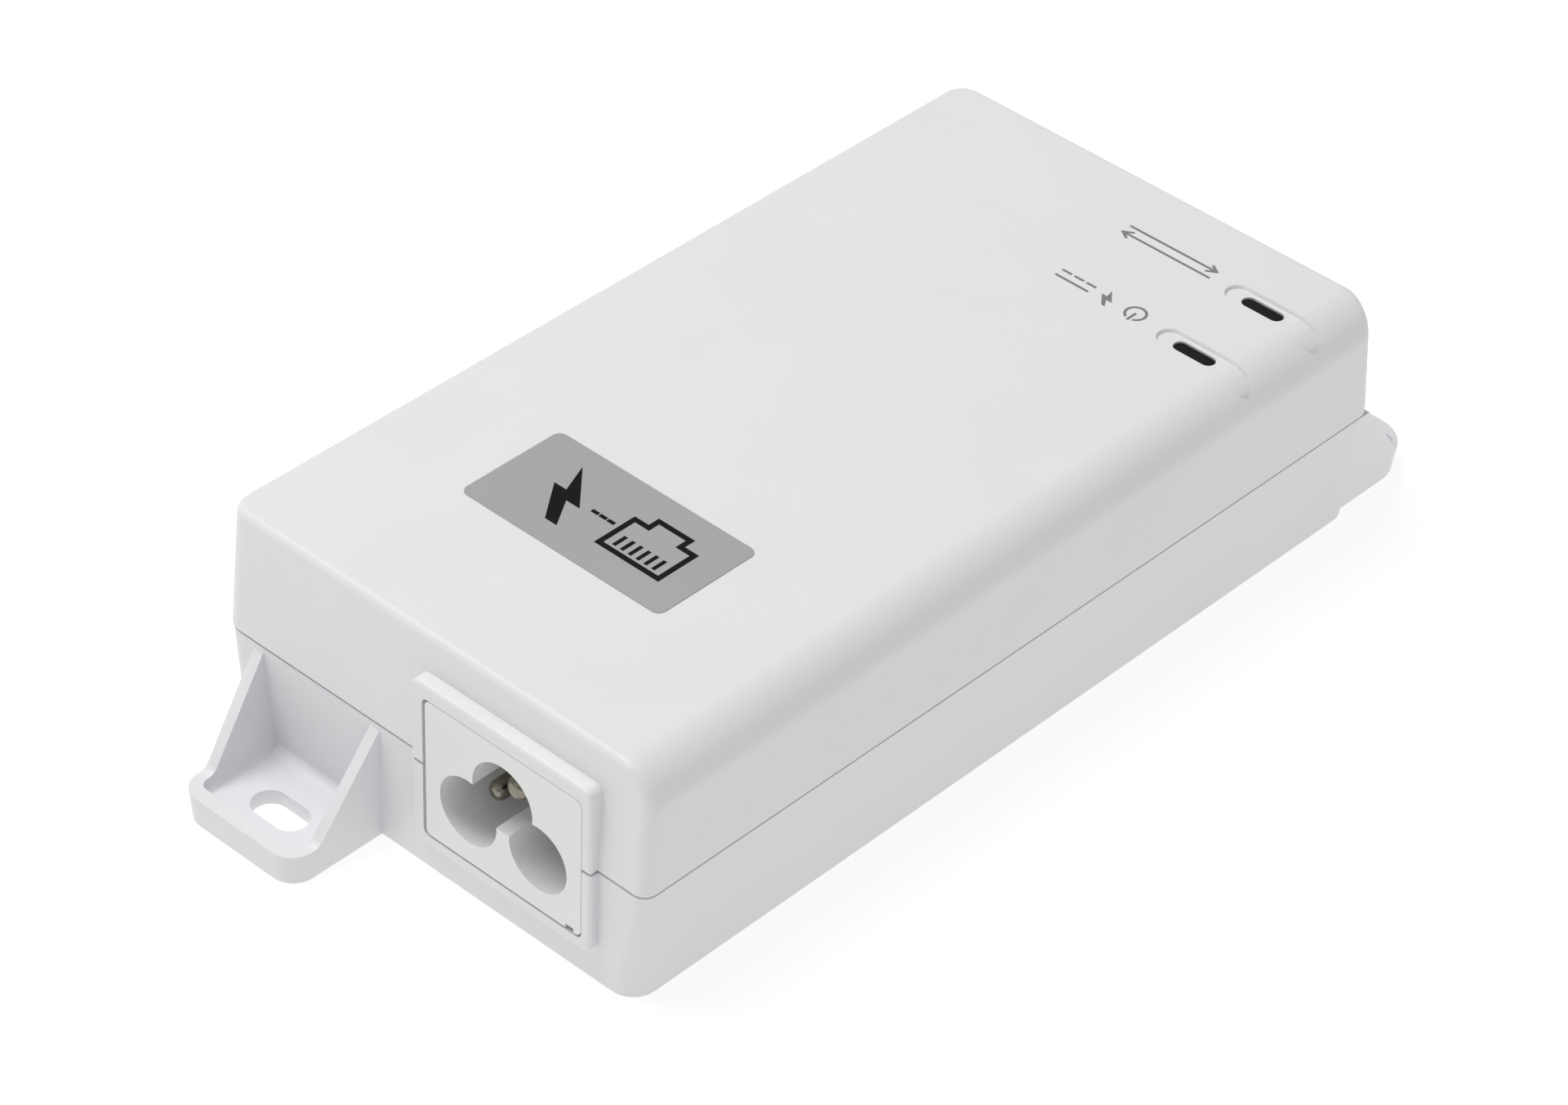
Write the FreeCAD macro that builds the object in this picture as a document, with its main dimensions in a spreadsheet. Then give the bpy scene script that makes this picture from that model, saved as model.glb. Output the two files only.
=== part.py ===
import FreeCAD
import Part

import os
import re

# A desk or wall power-over-ethernet injector: two plastic shells round a mains supply,
# a cloverleaf mains inlet at the near end (-Y), two modular jacks at the far end (+Y).
# Millimetres. The origin is the middle of the underside, X across, Y along, Z up.

# ---------------------------------------------------------------- driving dimensions

SIZES = {
    # shells
    "body_width": 62.0,            # across the seam
    "body_length": 116.0,          # along the seam
    "body_height": 30.0,
    "seam_height": 14.7,
    "cover_side_slope": 0.019,     # mm of draft per mm of height
    "cover_end_slope": 0.075,
    "case_side_slope": 0.089,
    "case_inset": 0.12,            # the lower shell stands this far inside the upper one
    "corner_radius": 2.0,          # upright corners of both shells at the seam
    "foot_corner_radius": 3.0,     # the lower shell's corners grow rounder towards the foot
    "inner_corner_radius": 1.6,
    "soft_edge": 4.8,              # the rounded long top edge, +X
    "crisp_edge": 0.8,             # the other three top edges
    "wall": 2.0,
    "lip_height": 1.5,
    "lip_thickness": 0.8,
    "fit_gap": 0.15,               # between a piece and the opening that holds it
    "overcut": 1.0,                # how far a cutting tool runs on past the face it opens
    # wall ears
    "near_ear_side": 7.15,         # straight side of the near ear, left of the centre line
    "far_ear_side": 11.7,          # straight side of the far ear, right of the centre line
    "ear_width": 17.0,
    "ear_length": 12.5,
    "ear_corner": 2.8,
    "far_ear_corner": 5.5,         # the far ear's outer corner is rounder
    "ear_pocket_corner": 1.0,
    "ear_lean": 0.145,             # the outer side leans out, mm per mm
    "ear_rim_height": 3.5,
    "ear_rim_side": 1.4,
    "ear_rim_front": 1.8,
    "ear_floor": 1.9,
    "ear_floor_round": 2.2,
    "rib_run": 8.6,                # the ribs slope down over this length
    "rib_top": 14.0,
    "ear_slot_length": 7.4,
    "ear_slot_width": 4.2,
    "ear_slot_reach": 6.3,         # slot centre, out from the end face
    # mains inlet
    "inlet_across": 11.8,
    "inlet_width": 22.5,
    "inlet_height": 17.9,
    "inlet_proud": 1.0,            # how far its face and frame stand out of the end
    "inlet_corner": 0.8,
    "inlet_flange": 1.0,
    "inlet_flange_depth": 1.5,
    "inlet_rear_width": 18.0,
    "inlet_rear_height": 15.4,
    "inlet_depth": 14.6,
    "frame_side": 1.9,
    "frame_under": 1.55,
    "frame_edge": 0.65,
    "lobe_spacing": 10.0,
    "lobe_radius": 4.1,
    "lobe_drop": 2.1,              # line and neutral lobes, below the seam
    "lobe_rise": 2.5,              # earth lobe, above the seam
    "earth_lobe_extra": 0.2,       # its radius is this much more
    "socket_depth": 12.5,
    "pin_radius": 1.18,
    "earth_pin_radius": 1.45,
    "pin_recess": 3.7,             # tip of a line pin, behind the face
    "earth_pin_recess": 1.6,
    "pin_tail": 3.0,
    # circuit board
    "board_width": 54.0,
    "board_end_gap": 5.0,          # near edge of the board, from the outside of the end wall
    "board_far_gap": 3.0,
    "board_underside": 3.4,
    "board_thickness": 1.6,
    "sheet_thickness": 0.25,
    "post_radius": 2.5,
    "sheet_margin": 1.0,           # the insulating sheet is this much smaller than the board
    "near_left_post_side": 7.5,    # post axes, in from the side of the body
    "near_left_post_back": 21.5,   # towards the inlet, from the middle
    "near_right_post_side": 7.0,
    "near_right_post_near": 29.0,  # in from the near end
    "far_left_post_side": 8.5,
    "far_left_post_ahead": 20.0,   # towards the jacks, from the middle
    "far_right_post_side": 11.0,
    "far_right_post_far": 28.0,    # in from the far end
    # fasteners
    "boss_side": 5.4,              # boss axis, in from the side of the body
    "boss_near": 11.0,             # boss axis, in from the near end
    "boss_far": 5.0,
    "boss_behind_jack": 28.0,
    "boss_radius": 3.8,
    "cover_boss_radius": 3.3,
    "screw_seat": 8.0,
    "screw_recess_radius": 2.8,
    "screw_head_radius": 2.5,
    "screw_head_height": 1.9,
    "screw_radius": 1.4,
    "screw_length": 13.0,
    "screw_clear": 0.3,
    "board_screw_head": 2.2,
    "board_screw_radius": 0.9,
    "board_screw_length": 3.4,
    "board_screw_head_height": 1.5,
    "board_screw_short": 0.2,      # the screw ends this far above the end of its hole
    # modular jacks
    "jack_from_side": 12.0,        # first jack's centre, in from the -X side
    "jack_gap": 1.4,               # between the two shields
    "jack_width": 15.6,
    "jack_height": 13.2,
    "jack_depth": 20.6,
    "jack_set_back": 0.3,
    "shield_thickness": 0.2,
    "port_width": 11.8,
    "port_height": 6.9,
    "port_depth": 13.5,
    "port_base": 4.6,              # floor of the plug space, above the jack's own floor
    "key_width": 6.2,
    "key_height": 1.5,
    "latch_width": 3.4,
    "latch_height": 1.2,
    "contact_pitch": 1.02,
    "contact_thickness": 0.4,
    "contact_length": 9.5,
    "contact_root": 1.2,           # how far each contact is set into the back of the jack
    "contact_drop": 1.2,           # its root, below the roof of the plug space
    "key_overlap": 0.5,            # key and latch rooms run this far into the space above
    # indicators
    "lens_from_side": 8.7,
    "lens_length": 5.4,
    "lens_width": 1.67,
    "lens_sunk": 0.25,             # lens top, below the floor of its recess
    "power_lens_from_far": 22.7,
    "active_lens_from_far": 11.0,
    "dish_start": 13.6,            # inner end of the shallow dish, in from the +X side
    "dish_end": 1.4,
    "dish_width": 3.05,
    "dish_depth": 0.32,
    "pipe_foot": 10.0,             # foot of each light pipe, above the underside
    "pipe_flange": 0.9,
    "pipe_flange_height": 1.2,
    "pipe_flange_drop": 4.0,       # below the inside of the roof
    "collar_wall": 1.0,
    "collar_height": 2.5,
    "led_length": 3.2,
    "led_width": 1.6,
    "led_height": 1.4,
    "led_round": 0.3,
    # labels
    "label_across": -1.0,
    "label_width": 28.8,
    "label_length": 14.6,
    "label_from_near": 26.9,
    "label_corner": 1.05,
    "label_thickness": 0.12,
    "plate_width": 40.0,
    "plate_length": 60.0,
    "plate_sunk": 0.3,
    # mains side of the supply; "across" is from the -X side, "near" from the near end
    "fuse_across": 20.0,
    "fuse_near": 8.0,
    "fuse_rise": 4.2,
    "fuse_radius": 2.6,
    "fuse_length": 20.0,
    "clip_shift": 8.0,
    "clip_length": 3.6,
    "clip_width": 6.4,
    "clip_height": 6.5,
    "clip_slit": 4.4,
    "disc_near": 15.4,
    "disc_thickness": 3.4,
    "disc_lift": 2.0,
    "disc_leg_spread": 2.5,
    "disc_leg_radius": 0.4,
    "disc_leg_length": 4.0,
    "varistor_across": 15.0,
    "varistor_radius": 5.0,
    "thermistor_across": 27.0,
    "thermistor_radius": 4.5,
    "film_capacitor_near": 24.0,
    "film_capacitor_width": 17.5,
    "film_capacitor_length": 7.5,
    "film_capacitor_height": 14.5,
    "film_capacitor_round": 0.8,
    "choke_across": 18.0,
    "choke_near": 28.0,
    "choke_lift": 1.5,
    "choke_radius": 8.5,
    "choke_height": 7.0,
    "choke_eye": 4.5,
    "coil_radius": 9.8,
    "coil_eye": 3.2,
    "coil_height": 10.0,
    "coil_shift": 6.0,
    "coil_width": 9.0,
    "bridge_shift": 1.0,
    "bridge_near": 33.0,
    "bridge_width": 14.5,
    "bridge_length": 3.8,
    "bridge_height": 11.5,
    "bridge_round": 0.4,
    "bulk_side": 14.0,             # in from the +X side
    "bulk_near": 43.1,
    "bulk_radius": 8.0,
    "bulk_height": 20.0,
    "can_round": 0.8,
    # power stage
    "sink_side": 5.5,              # in from either side
    "transistor_back": 6.0,        # towards the inlet, from the middle
    "diode_ahead": 13.0,           # towards the jacks, from the middle
    "sink_thickness": 2.0,
    "sink_length": 22.0,
    "sink_height": 18.0,
    "sink_screw_rise": 15.4,
    "sink_screw_radius": 1.3,
    "sink_screw_head": 2.4,
    "sink_screw_head_height": 1.5,
    "tab_thickness": 1.3,
    "tab_width": 10.0,
    "tab_height": 15.0,
    "package_thickness": 3.0,
    "package_height": 9.0,
    "package_lift": 3.5,
    "leg_pitch": 2.54,
    "leg_stand_off": 3.5,
    "leg_thickness": 0.5,
    "leg_width": 0.8,
    "leg_overlap": 0.3,
    "core_x": 2.0,
    "core_y": 5.0,
    "core_lift": 1.5,
    "core_width": 25.0,
    "core_length": 20.0,
    "core_height": 15.0,
    "window_shift": 6.6,
    "window_width": 6.0,
    "window_rise": 3.5,
    "window_height": 8.0,
    "spool_width": 19.0,
    "spool_length": 24.0,
    "spool_height": 7.8,
    "spool_rise": 3.6,
    "spool_bore_width": 7.3,
    "spool_bore_length": 20.3,
    "spool_pocket_shift": 7.0,
    "spool_pocket_width": 4.6,
    "spool_pocket_length": 18.0,
    "spool_end_shift": 11.1,
    "spool_end_thickness": 1.8,
    "spool_end_height": 11.0,
    "winding_gap": 0.2,            # round each winding, in its pocket
    "winding_rise": 3.9,
    "winding_height": 7.2,
    "safety_disc_x": 15.5,         # small parts in a row on the -X side
    "safety_disc_y": 12.0,
    "safety_disc_rise": 5.5,
    "safety_disc_radius": 3.5,
    "safety_disc_thickness": 3.0,
    "safety_leg_spread": 2.2,
    "safety_leg_radius": 0.35,
    "opto_y": 5.5,
    "opto_width": 4.6,
    "opto_length": 6.5,
    "opto_height": 3.6,
    "driver_back": 15.0,
    "driver_width": 3.9,
    "driver_length": 4.9,
    "driver_height": 1.6,
    "output_can_left": 1.5,
    "output_can_pitch": 11.0,
    "output_can_far": 31.5,        # in from the far end
    "output_can_radius": 5.0,
    "output_can_height": 16.0,
    "output_can_round": 0.6,
    "drum_x": 13.5,
    "drum_y": 21.5,
    "drum_radius": 4.2,
    "drum_height": 8.0,
    "drum_cheek_radius": 4.8,
    "drum_cheek_height": 1.4,
    # network side; "far" is in from the far end, "side" from the nearer side
    "magnetics_side": 17.5,
    "magnetics_far": 25.2,
    "magnetics_width": 12.7,
    "magnetics_length": 6.8,
    "magnetics_height": 5.2,
    "controller_far": 17.0,
    "controller_width": 4.0,
    "controller_length": 9.9,
    "controller_height": 1.7,
    "sense_far": 8.0,
    "sense_width": 3.2,
    "sense_length": 6.3,
    "sense_height": 0.7,
}
TOUCHING = 0.01                    # two places closer than this are the same place
CONTACT_TILT = -20                 # degrees
CONTACTS = 8

doc = FreeCAD.newDocument("PoeInjector")
sheet = doc.addObject("Spreadsheet::Sheet", "Sizes")
for row, (alias, value) in enumerate(SIZES.items(), 1):
    sheet.set(f"A{row}", alias)
    sheet.set(f"B{row}", str(value))
    sheet.setAlias(f"B{row}", alias)
doc.recompute()


def linked(text):
    """A formula over the sheet's aliases, as FreeCAD reads it."""
    return re.sub(r"[a-z_]+", lambda m: f"Sizes.{m.group()}" if m.group() in SIZES else m.group(),
                  str(text))


def size(alias):
    return float(sheet.get(alias))


# ---------------------------------------------------------------- small helpers

VERTICAL = FreeCAD.Rotation(FreeCAD.Vector(1, 0, 0), 90)      # turns Y up
ALONG_Y = FreeCAD.Rotation(FreeCAD.Vector(1, 0, 0), -90)      # turns Z to +Y
ALONG_X = FreeCAD.Rotation(FreeCAD.Vector(0, 1, 0), 90)       # turns Z to +X


def place(piece, x, y, z, turn=None):
    if turn is not None:
        piece.Placement = FreeCAD.Placement(FreeCAD.Vector(), turn)
    for axis, text in zip("xyz", (x, y, z)):
        piece.setExpression(f"Placement.Base.{axis}", linked(text))
    return piece


def primitive(kind, name, at, turn=None, **sizes):
    piece = doc.addObject(f"Part::{kind}", name)
    for key, text in sizes.items():
        piece.setExpression(key, linked(text))
    return place(piece, *at, turn)


def box(name, x0, x1, y0, y1, z0, z1):
    """A box between six formulas."""
    return primitive("Box", name, (x0, y0, z0), Length=f"({x1}) - ({x0})",
                     Width=f"({y1}) - ({y0})", Height=f"({z1}) - ({z0})")


def block(name, x, y, z, width, length, height):
    """A box that stands on z, centred over x and y."""
    return primitive("Box", name, (f"({x}) - ({width}) / 2", f"({y}) - ({length}) / 2", z),
                     Length=width, Width=length, Height=height)


def cylinder(name, x, y, z, radius, height, turn=None):
    return primitive("Cylinder", name, (x, y, z), turn, Radius=radius, Height=height)


def frustum(name, low, high, z0, z1):
    """A tapered block: low and high are half sizes (x, y) at its foot and its top."""
    return primitive("Wedge", name, (0, 0, z0), VERTICAL,
                     Xmin=f"-({low[0]})", Xmax=low[0], Zmin=f"-({low[1]})", Zmax=low[1],
                     X2min=f"-({high[0]})", X2max=high[0], Z2min=f"-({high[1]})", Z2max=high[1],
                     Ymin="0", Ymax=f"({z1}) - ({z0})")


def joined(name, *pieces):
    result = doc.addObject("Part::MultiFuse", name)
    result.Shapes = list(pieces)
    result.Refine = True
    return result


def cut(name, base, *tools):
    result = doc.addObject("Part::Cut", name)
    result.Base = base
    result.Tool = tools[0] if len(tools) == 1 else joined(f"{name}_tools", *tools)
    return result


def common(name, first, second):
    result = doc.addObject("Part::Common", name)
    result.Base = first
    result.Tool = second
    return result


def group(name, pieces):
    result = doc.addObject("Part::Compound", name)
    result.Links = list(pieces)
    return result


def rounded(name, base, radius_of):
    """Fillets the edges for which radius_of gives a radius, or one for each end, in one go."""
    doc.recompute()
    edges = []
    for i, edge in enumerate(base.Shape.Edges, 1):
        radius = radius_of(edge)
        if radius:
            edges.append((i, *radius) if isinstance(radius, tuple) else (i, radius, radius))
    result = doc.addObject("Part::Fillet", name)
    result.Base = base
    result.Edges = edges
    return result


def direction(edge):
    """The axis along which an edge mostly runs."""
    bounds = edge.BoundBox
    spans = {"x": bounds.XLength, "y": bounds.YLength, "z": bounds.ZLength}
    return max(spans, key=spans.get)


def upright(radius):
    return lambda edge: radius if direction(edge) == "z" else 0


def growing(foot, top):
    """Upright edges rounded by one radius at the foot and another at the top."""
    def radius_of(edge):
        if direction(edge) != "z":
            return 0
        first, last = edge.Vertexes[0], edge.Vertexes[-1]
        return (foot, top) if first.Z < last.Z else (top, foot)
    return radius_of


def rounded_block(name, x, y, z, width, length, height, radius):
    return rounded(name, block(f"{name}_block", x, y, z, width, length, height), upright(radius))


def stadium(name, x, y, z, length, width, height):
    """A slot-shaped post, long across X."""
    reach = f"(({length}) - ({width})) / 2"
    return joined(name, block(f"{name}_middle", x, y, z, f"2 * {reach}", width, height),
                  cylinder(f"{name}_left", f"({x}) - {reach}", y, z, f"({width}) / 2", height),
                  cylinder(f"{name}_right", f"({x}) + {reach}", y, z, f"({width}) / 2", height))


parts = []


def keep(piece, label):
    piece.Label = label
    parts.append(piece)
    return piece


# ---------------------------------------------------------------- shared places

HALF_WIDTH = "body_width / 2"
HALF_LENGTH = "body_length / 2"
NEAR = "-body_length / 2"
BOARD_TOP = "(board_underside + board_thickness)"
COVER_RISE = "(body_height - seam_height)"
CEILING = "(body_height - wall)"
LOBE_Z = "(seam_height - lobe_drop)"
EARTH_Z = "(seam_height + lobe_rise)"
INLET_FACE = f"({NEAR} - inlet_proud)"
JACK_FACE = f"({HALF_LENGTH} - jack_set_back)"
JACKS = {"data_in": f"(-{HALF_WIDTH} + jack_from_side)",
         "power_out": f"(-{HALF_WIDTH} + jack_from_side + jack_width + 2 * shield_thickness + jack_gap)"}
BOSSES = [(f"(-{HALF_WIDTH} + boss_side)", f"({NEAR} + boss_near)"),
          (f"({HALF_WIDTH} - boss_side)", f"({NEAR} + boss_near)"),
          (f"({HALF_WIDTH} - boss_side)", f"({HALF_LENGTH} - boss_far)"),
          (f"(-{HALF_WIDTH} + boss_side)", f"({HALF_LENGTH} - boss_behind_jack)")]
POSTS = [(f"(-{HALF_WIDTH} + near_left_post_side)", "-near_left_post_back"),
         (f"({HALF_WIDTH} - near_right_post_side)", f"({NEAR} + near_right_post_near)"),
         (f"(-{HALF_WIDTH} + far_left_post_side)", "far_left_post_ahead"),
         (f"({HALF_WIDTH} - far_right_post_side)", f"({HALF_LENGTH} - far_right_post_far)")]
LENSES = {"power": f"({HALF_LENGTH} - power_lens_from_far)",
          "active": f"({HALF_LENGTH} - active_lens_from_far)"}
LENS_X = f"({HALF_WIDTH} - lens_from_side)"
LIP_ROOM = ("fit_gap", "2 * lip_thickness")


# ---------------------------------------------------------------- openings that both shells share

def inlet_opening(name):
    opening = block(f"{name}_block", "inlet_across", INLET_FACE,
                    "seam_height - inlet_height / 2 - fit_gap", "inlet_width + 2 * fit_gap",
                    "2 * (wall + inlet_proud + overcut)", "inlet_height + 2 * fit_gap")
    return rounded(name, opening,
                   lambda edge: size("inlet_corner") if direction(edge) == "y" else 0)


def jack_opening(name, jack):
    return block(name, JACKS[jack], HALF_LENGTH, f"{BOARD_TOP} - fit_gap",
                 "jack_width + 2 * shield_thickness + 2 * fit_gap", "4 * wall",
                 "jack_height + 2 * shield_thickness + 2 * fit_gap")


def openings(name):
    return [inlet_opening(f"{name}_inlet")] + [jack_opening(f"{name}_{jack}", jack) for jack in JACKS]


def inlet_frame(name, z0, z1):
    """Half of the raised ring round the inlet, its outer edges rounded."""
    half = "(inlet_width / 2 + frame_side)"
    ring = box(f"{name}_block", f"inlet_across - {half}", f"inlet_across + {half}",
               INLET_FACE, f"{NEAR} + wall / 2", z0, z1)
    seam = size("seam_height")
    far_face = -size("body_length") / 2

    def edge_radius(edge):
        bounds = edge.BoundBox
        on_seam = abs(bounds.ZMin - seam) < TOUCHING and abs(bounds.ZMax - seam) < TOUCHING
        if on_seam or bounds.YMin > far_face:
            return 0
        if direction(edge) == "y" and abs(bounds.ZMin - seam) < TOUCHING:
            return 0
        return size("frame_edge")
    return rounded(name, ring, edge_radius)


def lip(name, gap, inset):
    """The tongue that stands on the lower shell's inner edge, or the room round it."""
    outer = (f"({HALF_WIDTH} - wall + lip_thickness + ({gap}))",
             f"({HALF_LENGTH} - wall + lip_thickness + ({gap}))")
    inner = (f"({HALF_WIDTH} - wall - ({inset}))", f"({HALF_LENGTH} - wall - ({inset}))")
    top = f"seam_height + lip_height + ({gap})"
    ring = rounded(f"{name}_outer", frustum(f"{name}_block", outer, outer, "seam_height - wall", top),
                   upright(size("inner_corner_radius")))
    hole = frustum(f"{name}_hole", inner, inner, "seam_height - 2 * wall", f"{top} + wall")
    return cut(name, ring, hole)


# ---------------------------------------------------------------- ears for wall screws

def ear(name, side, outer_corner):
    """An ear at the near end whose straight side stands at x = side and which leans out to -X."""
    front = f"({NEAR} - ear_length)"
    outer = f"({side} - ear_width)"
    slab = primitive("Wedge", f"{name}_block", (0, f"{NEAR} + 2 * wall", 0), VERTICAL,
                       Xmin=outer, Xmax=side, X2min=f"{outer} - ear_lean * rib_top", X2max=side,
                       Ymin="0", Ymax="rib_top", Zmin="0", Zmax="ear_length + 2 * wall",
                       Z2min="0", Z2max="ear_length + 2 * wall")
    # side view: the ribs fall away from the end face to the rim
    profile = doc.addObject("Part::Feature", f"{name}_profile")
    y1 = -size("body_length") / 2
    y0 = y1 - size("ear_length")
    crease, inside = y1 - size("rib_run"), y1 + 2 * size("wall")
    points = [(y0, 0), (y0, size("ear_rim_height")), (crease, size("ear_rim_height")),
              (y1, size("rib_top")), (inside, size("rib_top")), (inside, 0)]
    reach = size("body_width")
    outline = Part.makePolygon([FreeCAD.Vector(-reach, y, z) for y, z in points + points[:1]])
    profile.Shape = Part.Face(outline).extrude(FreeCAD.Vector(2 * reach, 0, 0))

    def corner_radius(edge):
        if direction(edge) != "z" or edge.BoundBox.YMax > y0 + TOUCHING:
            return 0
        return size(outer_corner) if edge.BoundBox.XLength > TOUCHING else size("ear_corner")
    shaped = rounded(f"{name}_rounded", slab, corner_radius)
    solid = common(f"{name}_solid", shaped, profile)
    pocket = primitive("Wedge", f"{name}_pocket_block", (0, NEAR, "ear_floor"), VERTICAL,
                       Xmin=f"{outer} + ear_rim_side - ear_lean * ear_floor",
                       Xmax=f"{side} - ear_rim_side",
                       X2min=f"{outer} + ear_rim_side - ear_lean * rib_top",
                       X2max=f"{side} - ear_rim_side", Ymin="0", Ymax="rib_top - ear_floor",
                       Zmin="0", Zmax="ear_length - ear_rim_front",
                       Z2min="0", Z2max="ear_length - ear_rim_front")

    def pocket_radius(edge):
        bounds = edge.BoundBox
        at_wall = bounds.YMin > y1 - TOUCHING
        if direction(edge) == "z" and not at_wall:
            return size("ear_pocket_corner")
        if direction(edge) == "x" and bounds.ZMax < size("ear_floor") + TOUCHING and at_wall:
            return size("ear_floor_round")
        return 0
    hollow = rounded(f"{name}_pocket", pocket, pocket_radius)
    slot = stadium(f"{name}_slot", f"({side} - ear_width / 2)", f"({NEAR} - ear_slot_reach)", "-overcut",
                   "ear_slot_length", "ear_slot_width", "rib_top")
    return cut(name, solid, hollow, slot)


# ---------------------------------------------------------------- lower shell

def bottom_case():
    foot = f"({HALF_WIDTH} - case_inset - case_side_slope * seam_height)"
    top = f"({HALF_WIDTH} - case_inset)"
    end = f"({HALF_LENGTH} - case_inset)"
    outer = rounded("case_outer", frustum("case_block", (foot, end), (top, end), "0", "seam_height"),
                    growing(size("foot_corner_radius"), size("corner_radius")))
    floor_half = f"({foot} + case_side_slope * wall - wall)"
    cavity = rounded("case_cavity", frustum("case_cavity_block", (floor_half, f"{end} - wall"),
                                            (f"{top} - wall", f"{end} - wall"),
                                            "wall", "seam_height"),
                     upright(size("inner_corner_radius")))
    near_ear = ear("near_ear", "-near_ear_side", "ear_corner")
    far_ear = ear("far_ear", "-far_ear_side", "far_ear_corner")
    far_ear.Placement = FreeCAD.Placement(FreeCAD.Vector(),
                                          FreeCAD.Rotation(FreeCAD.Vector(0, 0, 1), 180))
    frame = inlet_frame("case_frame", "seam_height - inlet_height / 2 - frame_under", "seam_height")
    shell = cut("case_shell", joined("case_body", outer, near_ear, far_ear, frame), cavity)
    bosses = [cylinder(f"case_boss_{i}", x, y, "wall / 2", "boss_radius", "seam_height - wall / 2")
              for i, (x, y) in enumerate(BOSSES)]
    bosses_in = common("case_bosses", joined("case_boss_row", *bosses), outer)
    posts = [cylinder(f"case_post_{i}", x, y, "wall / 2", "post_radius", "board_underside - wall / 2")
             for i, (x, y) in enumerate(POSTS)]
    solid = joined("case_solid", shell, bosses_in, lip("case_lip", "0", "0"), *posts)
    recesses = [cylinder(f"case_recess_{i}", x, y, "-overcut", "screw_recess_radius",
                         "screw_seat + overcut")
                for i, (x, y) in enumerate(BOSSES)]
    bores = [cylinder(f"case_bore_{i}", x, y, "0", "screw_radius + screw_clear", "2 * seam_height")
             for i, (x, y) in enumerate(BOSSES)]
    pilots = [cylinder(f"case_pilot_{i}", x, y, f"{BOARD_TOP} - board_screw_length",
                       "board_screw_radius", "board_screw_length")
              for i, (x, y) in enumerate(POSTS)]
    plate_room = rounded_block("plate_room", "0", "0", "-overcut", "plate_width + 2 * fit_gap",
                               "plate_length + 2 * fit_gap", "overcut + plate_sunk", size("label_corner"))
    keep(cut("case_finished", solid, *recesses, *bores, *pilots, plate_room, *openings("case")),
         "bottom_case")


# ---------------------------------------------------------------- upper shell

def cover_frustum(name, inset, z0, edges):
    """The upper shell's outside, or a copy of it set in all round by a formula."""
    low = (f"({HALF_WIDTH} - ({inset}))", f"({HALF_LENGTH} - ({inset}))")
    high = (f"({low[0]} - cover_side_slope * {COVER_RISE})",
            f"({low[1]} - cover_end_slope * {COVER_RISE})")
    body = frustum(f"{name}_block", low, high, z0, f"body_height - ({inset})")
    corner, crisp, soft = edges

    def edge_radius(edge):
        bounds = edge.BoundBox
        if direction(edge) == "z":
            return corner
        if bounds.ZMin < size("seam_height") + TOUCHING:
            return 0
        return soft if direction(edge) == "y" and bounds.XMin > 0 else crisp
    return rounded(name, body, edge_radius)


def top_cover():
    corner, crisp, soft, wall = (size("corner_radius"), size("crisp_edge"), size("soft_edge"),
                                 size("wall"))
    outer = cover_frustum("cover_outer", "0", "seam_height", (corner, crisp, soft))
    cavity = cover_frustum("cover_cavity", "wall", "seam_height",
                           (size("inner_corner_radius"), crisp / 2, soft - wall / 2))
    frame = inlet_frame("cover_frame", "seam_height", "seam_height + inlet_height / 2 + frame_side")
    shell = cut("cover_shell", joined("cover_body", outer, frame), cavity, lip("cover_rebate", *LIP_ROOM))
    bosses = joined("cover_boss_row",
                    *[cylinder(f"cover_boss_{i}", x, y, "seam_height", "cover_boss_radius",
                               f"{COVER_RISE} - wall / 2") for i, (x, y) in enumerate(BOSSES)])
    boss_room = cover_frustum("cover_boss_room", "wall / 2", "seam_height",
                              (corner - wall / 4, crisp / 2, soft - wall / 4))
    collars = [cut(f"{lens}_collar",
                   stadium(f"{lens}_collar_post", LENS_X, y, f"{CEILING} - collar_height",
                           "lens_length + 2 * (fit_gap + collar_wall)",
                           "lens_width + 2 * (fit_gap + collar_wall)", "collar_height + wall / 2"),
                   stadium(f"{lens}_collar_bore", LENS_X, y, f"{CEILING} - collar_height - overcut",
                           "lens_length + 2 * fit_gap", "lens_width + 2 * fit_gap",
                           "collar_height + overcut"))
               for lens, y in LENSES.items()]
    lip_room = lip("cover_lip_room", *LIP_ROOM)
    solid = joined("cover_solid", shell,
                   cut("cover_bosses", common("cover_bosses_in", bosses, boss_room), lip_room), *collars)
    bores = [cylinder(f"cover_bore_{i}", x, y, "seam_height - overcut", "screw_radius",
                      "screw_seat + screw_length - seam_height + 2 * overcut")
             for i, (x, y) in enumerate(BOSSES)]
    slots = [stadium(f"{lens}_slot", LENS_X, y, f"{CEILING} - overcut", "lens_length + fit_gap",
                     "lens_width + fit_gap", "2 * wall") for lens, y in LENSES.items()]
    dish_middle = f"({HALF_WIDTH} - (dish_start + dish_end) / 2)"
    dishes = joined("dish_row", *[stadium(f"{lens}_dish", dish_middle, y, "seam_height",
                                          "dish_start - dish_end", "dish_width", "body_height")
                                  for lens, y in LENSES.items()])
    depth = size("dish_depth")
    dish_floor = cover_frustum("dish_floor", "dish_depth", "seam_height",
                               (corner - depth, crisp - depth, soft - depth))
    keep(cut("cover_finished", solid, *bores, *slots, cut("dish_cut", dishes, dish_floor),
             *openings("cover")), "top_cover")


# ---------------------------------------------------------------- mains inlet

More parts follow.
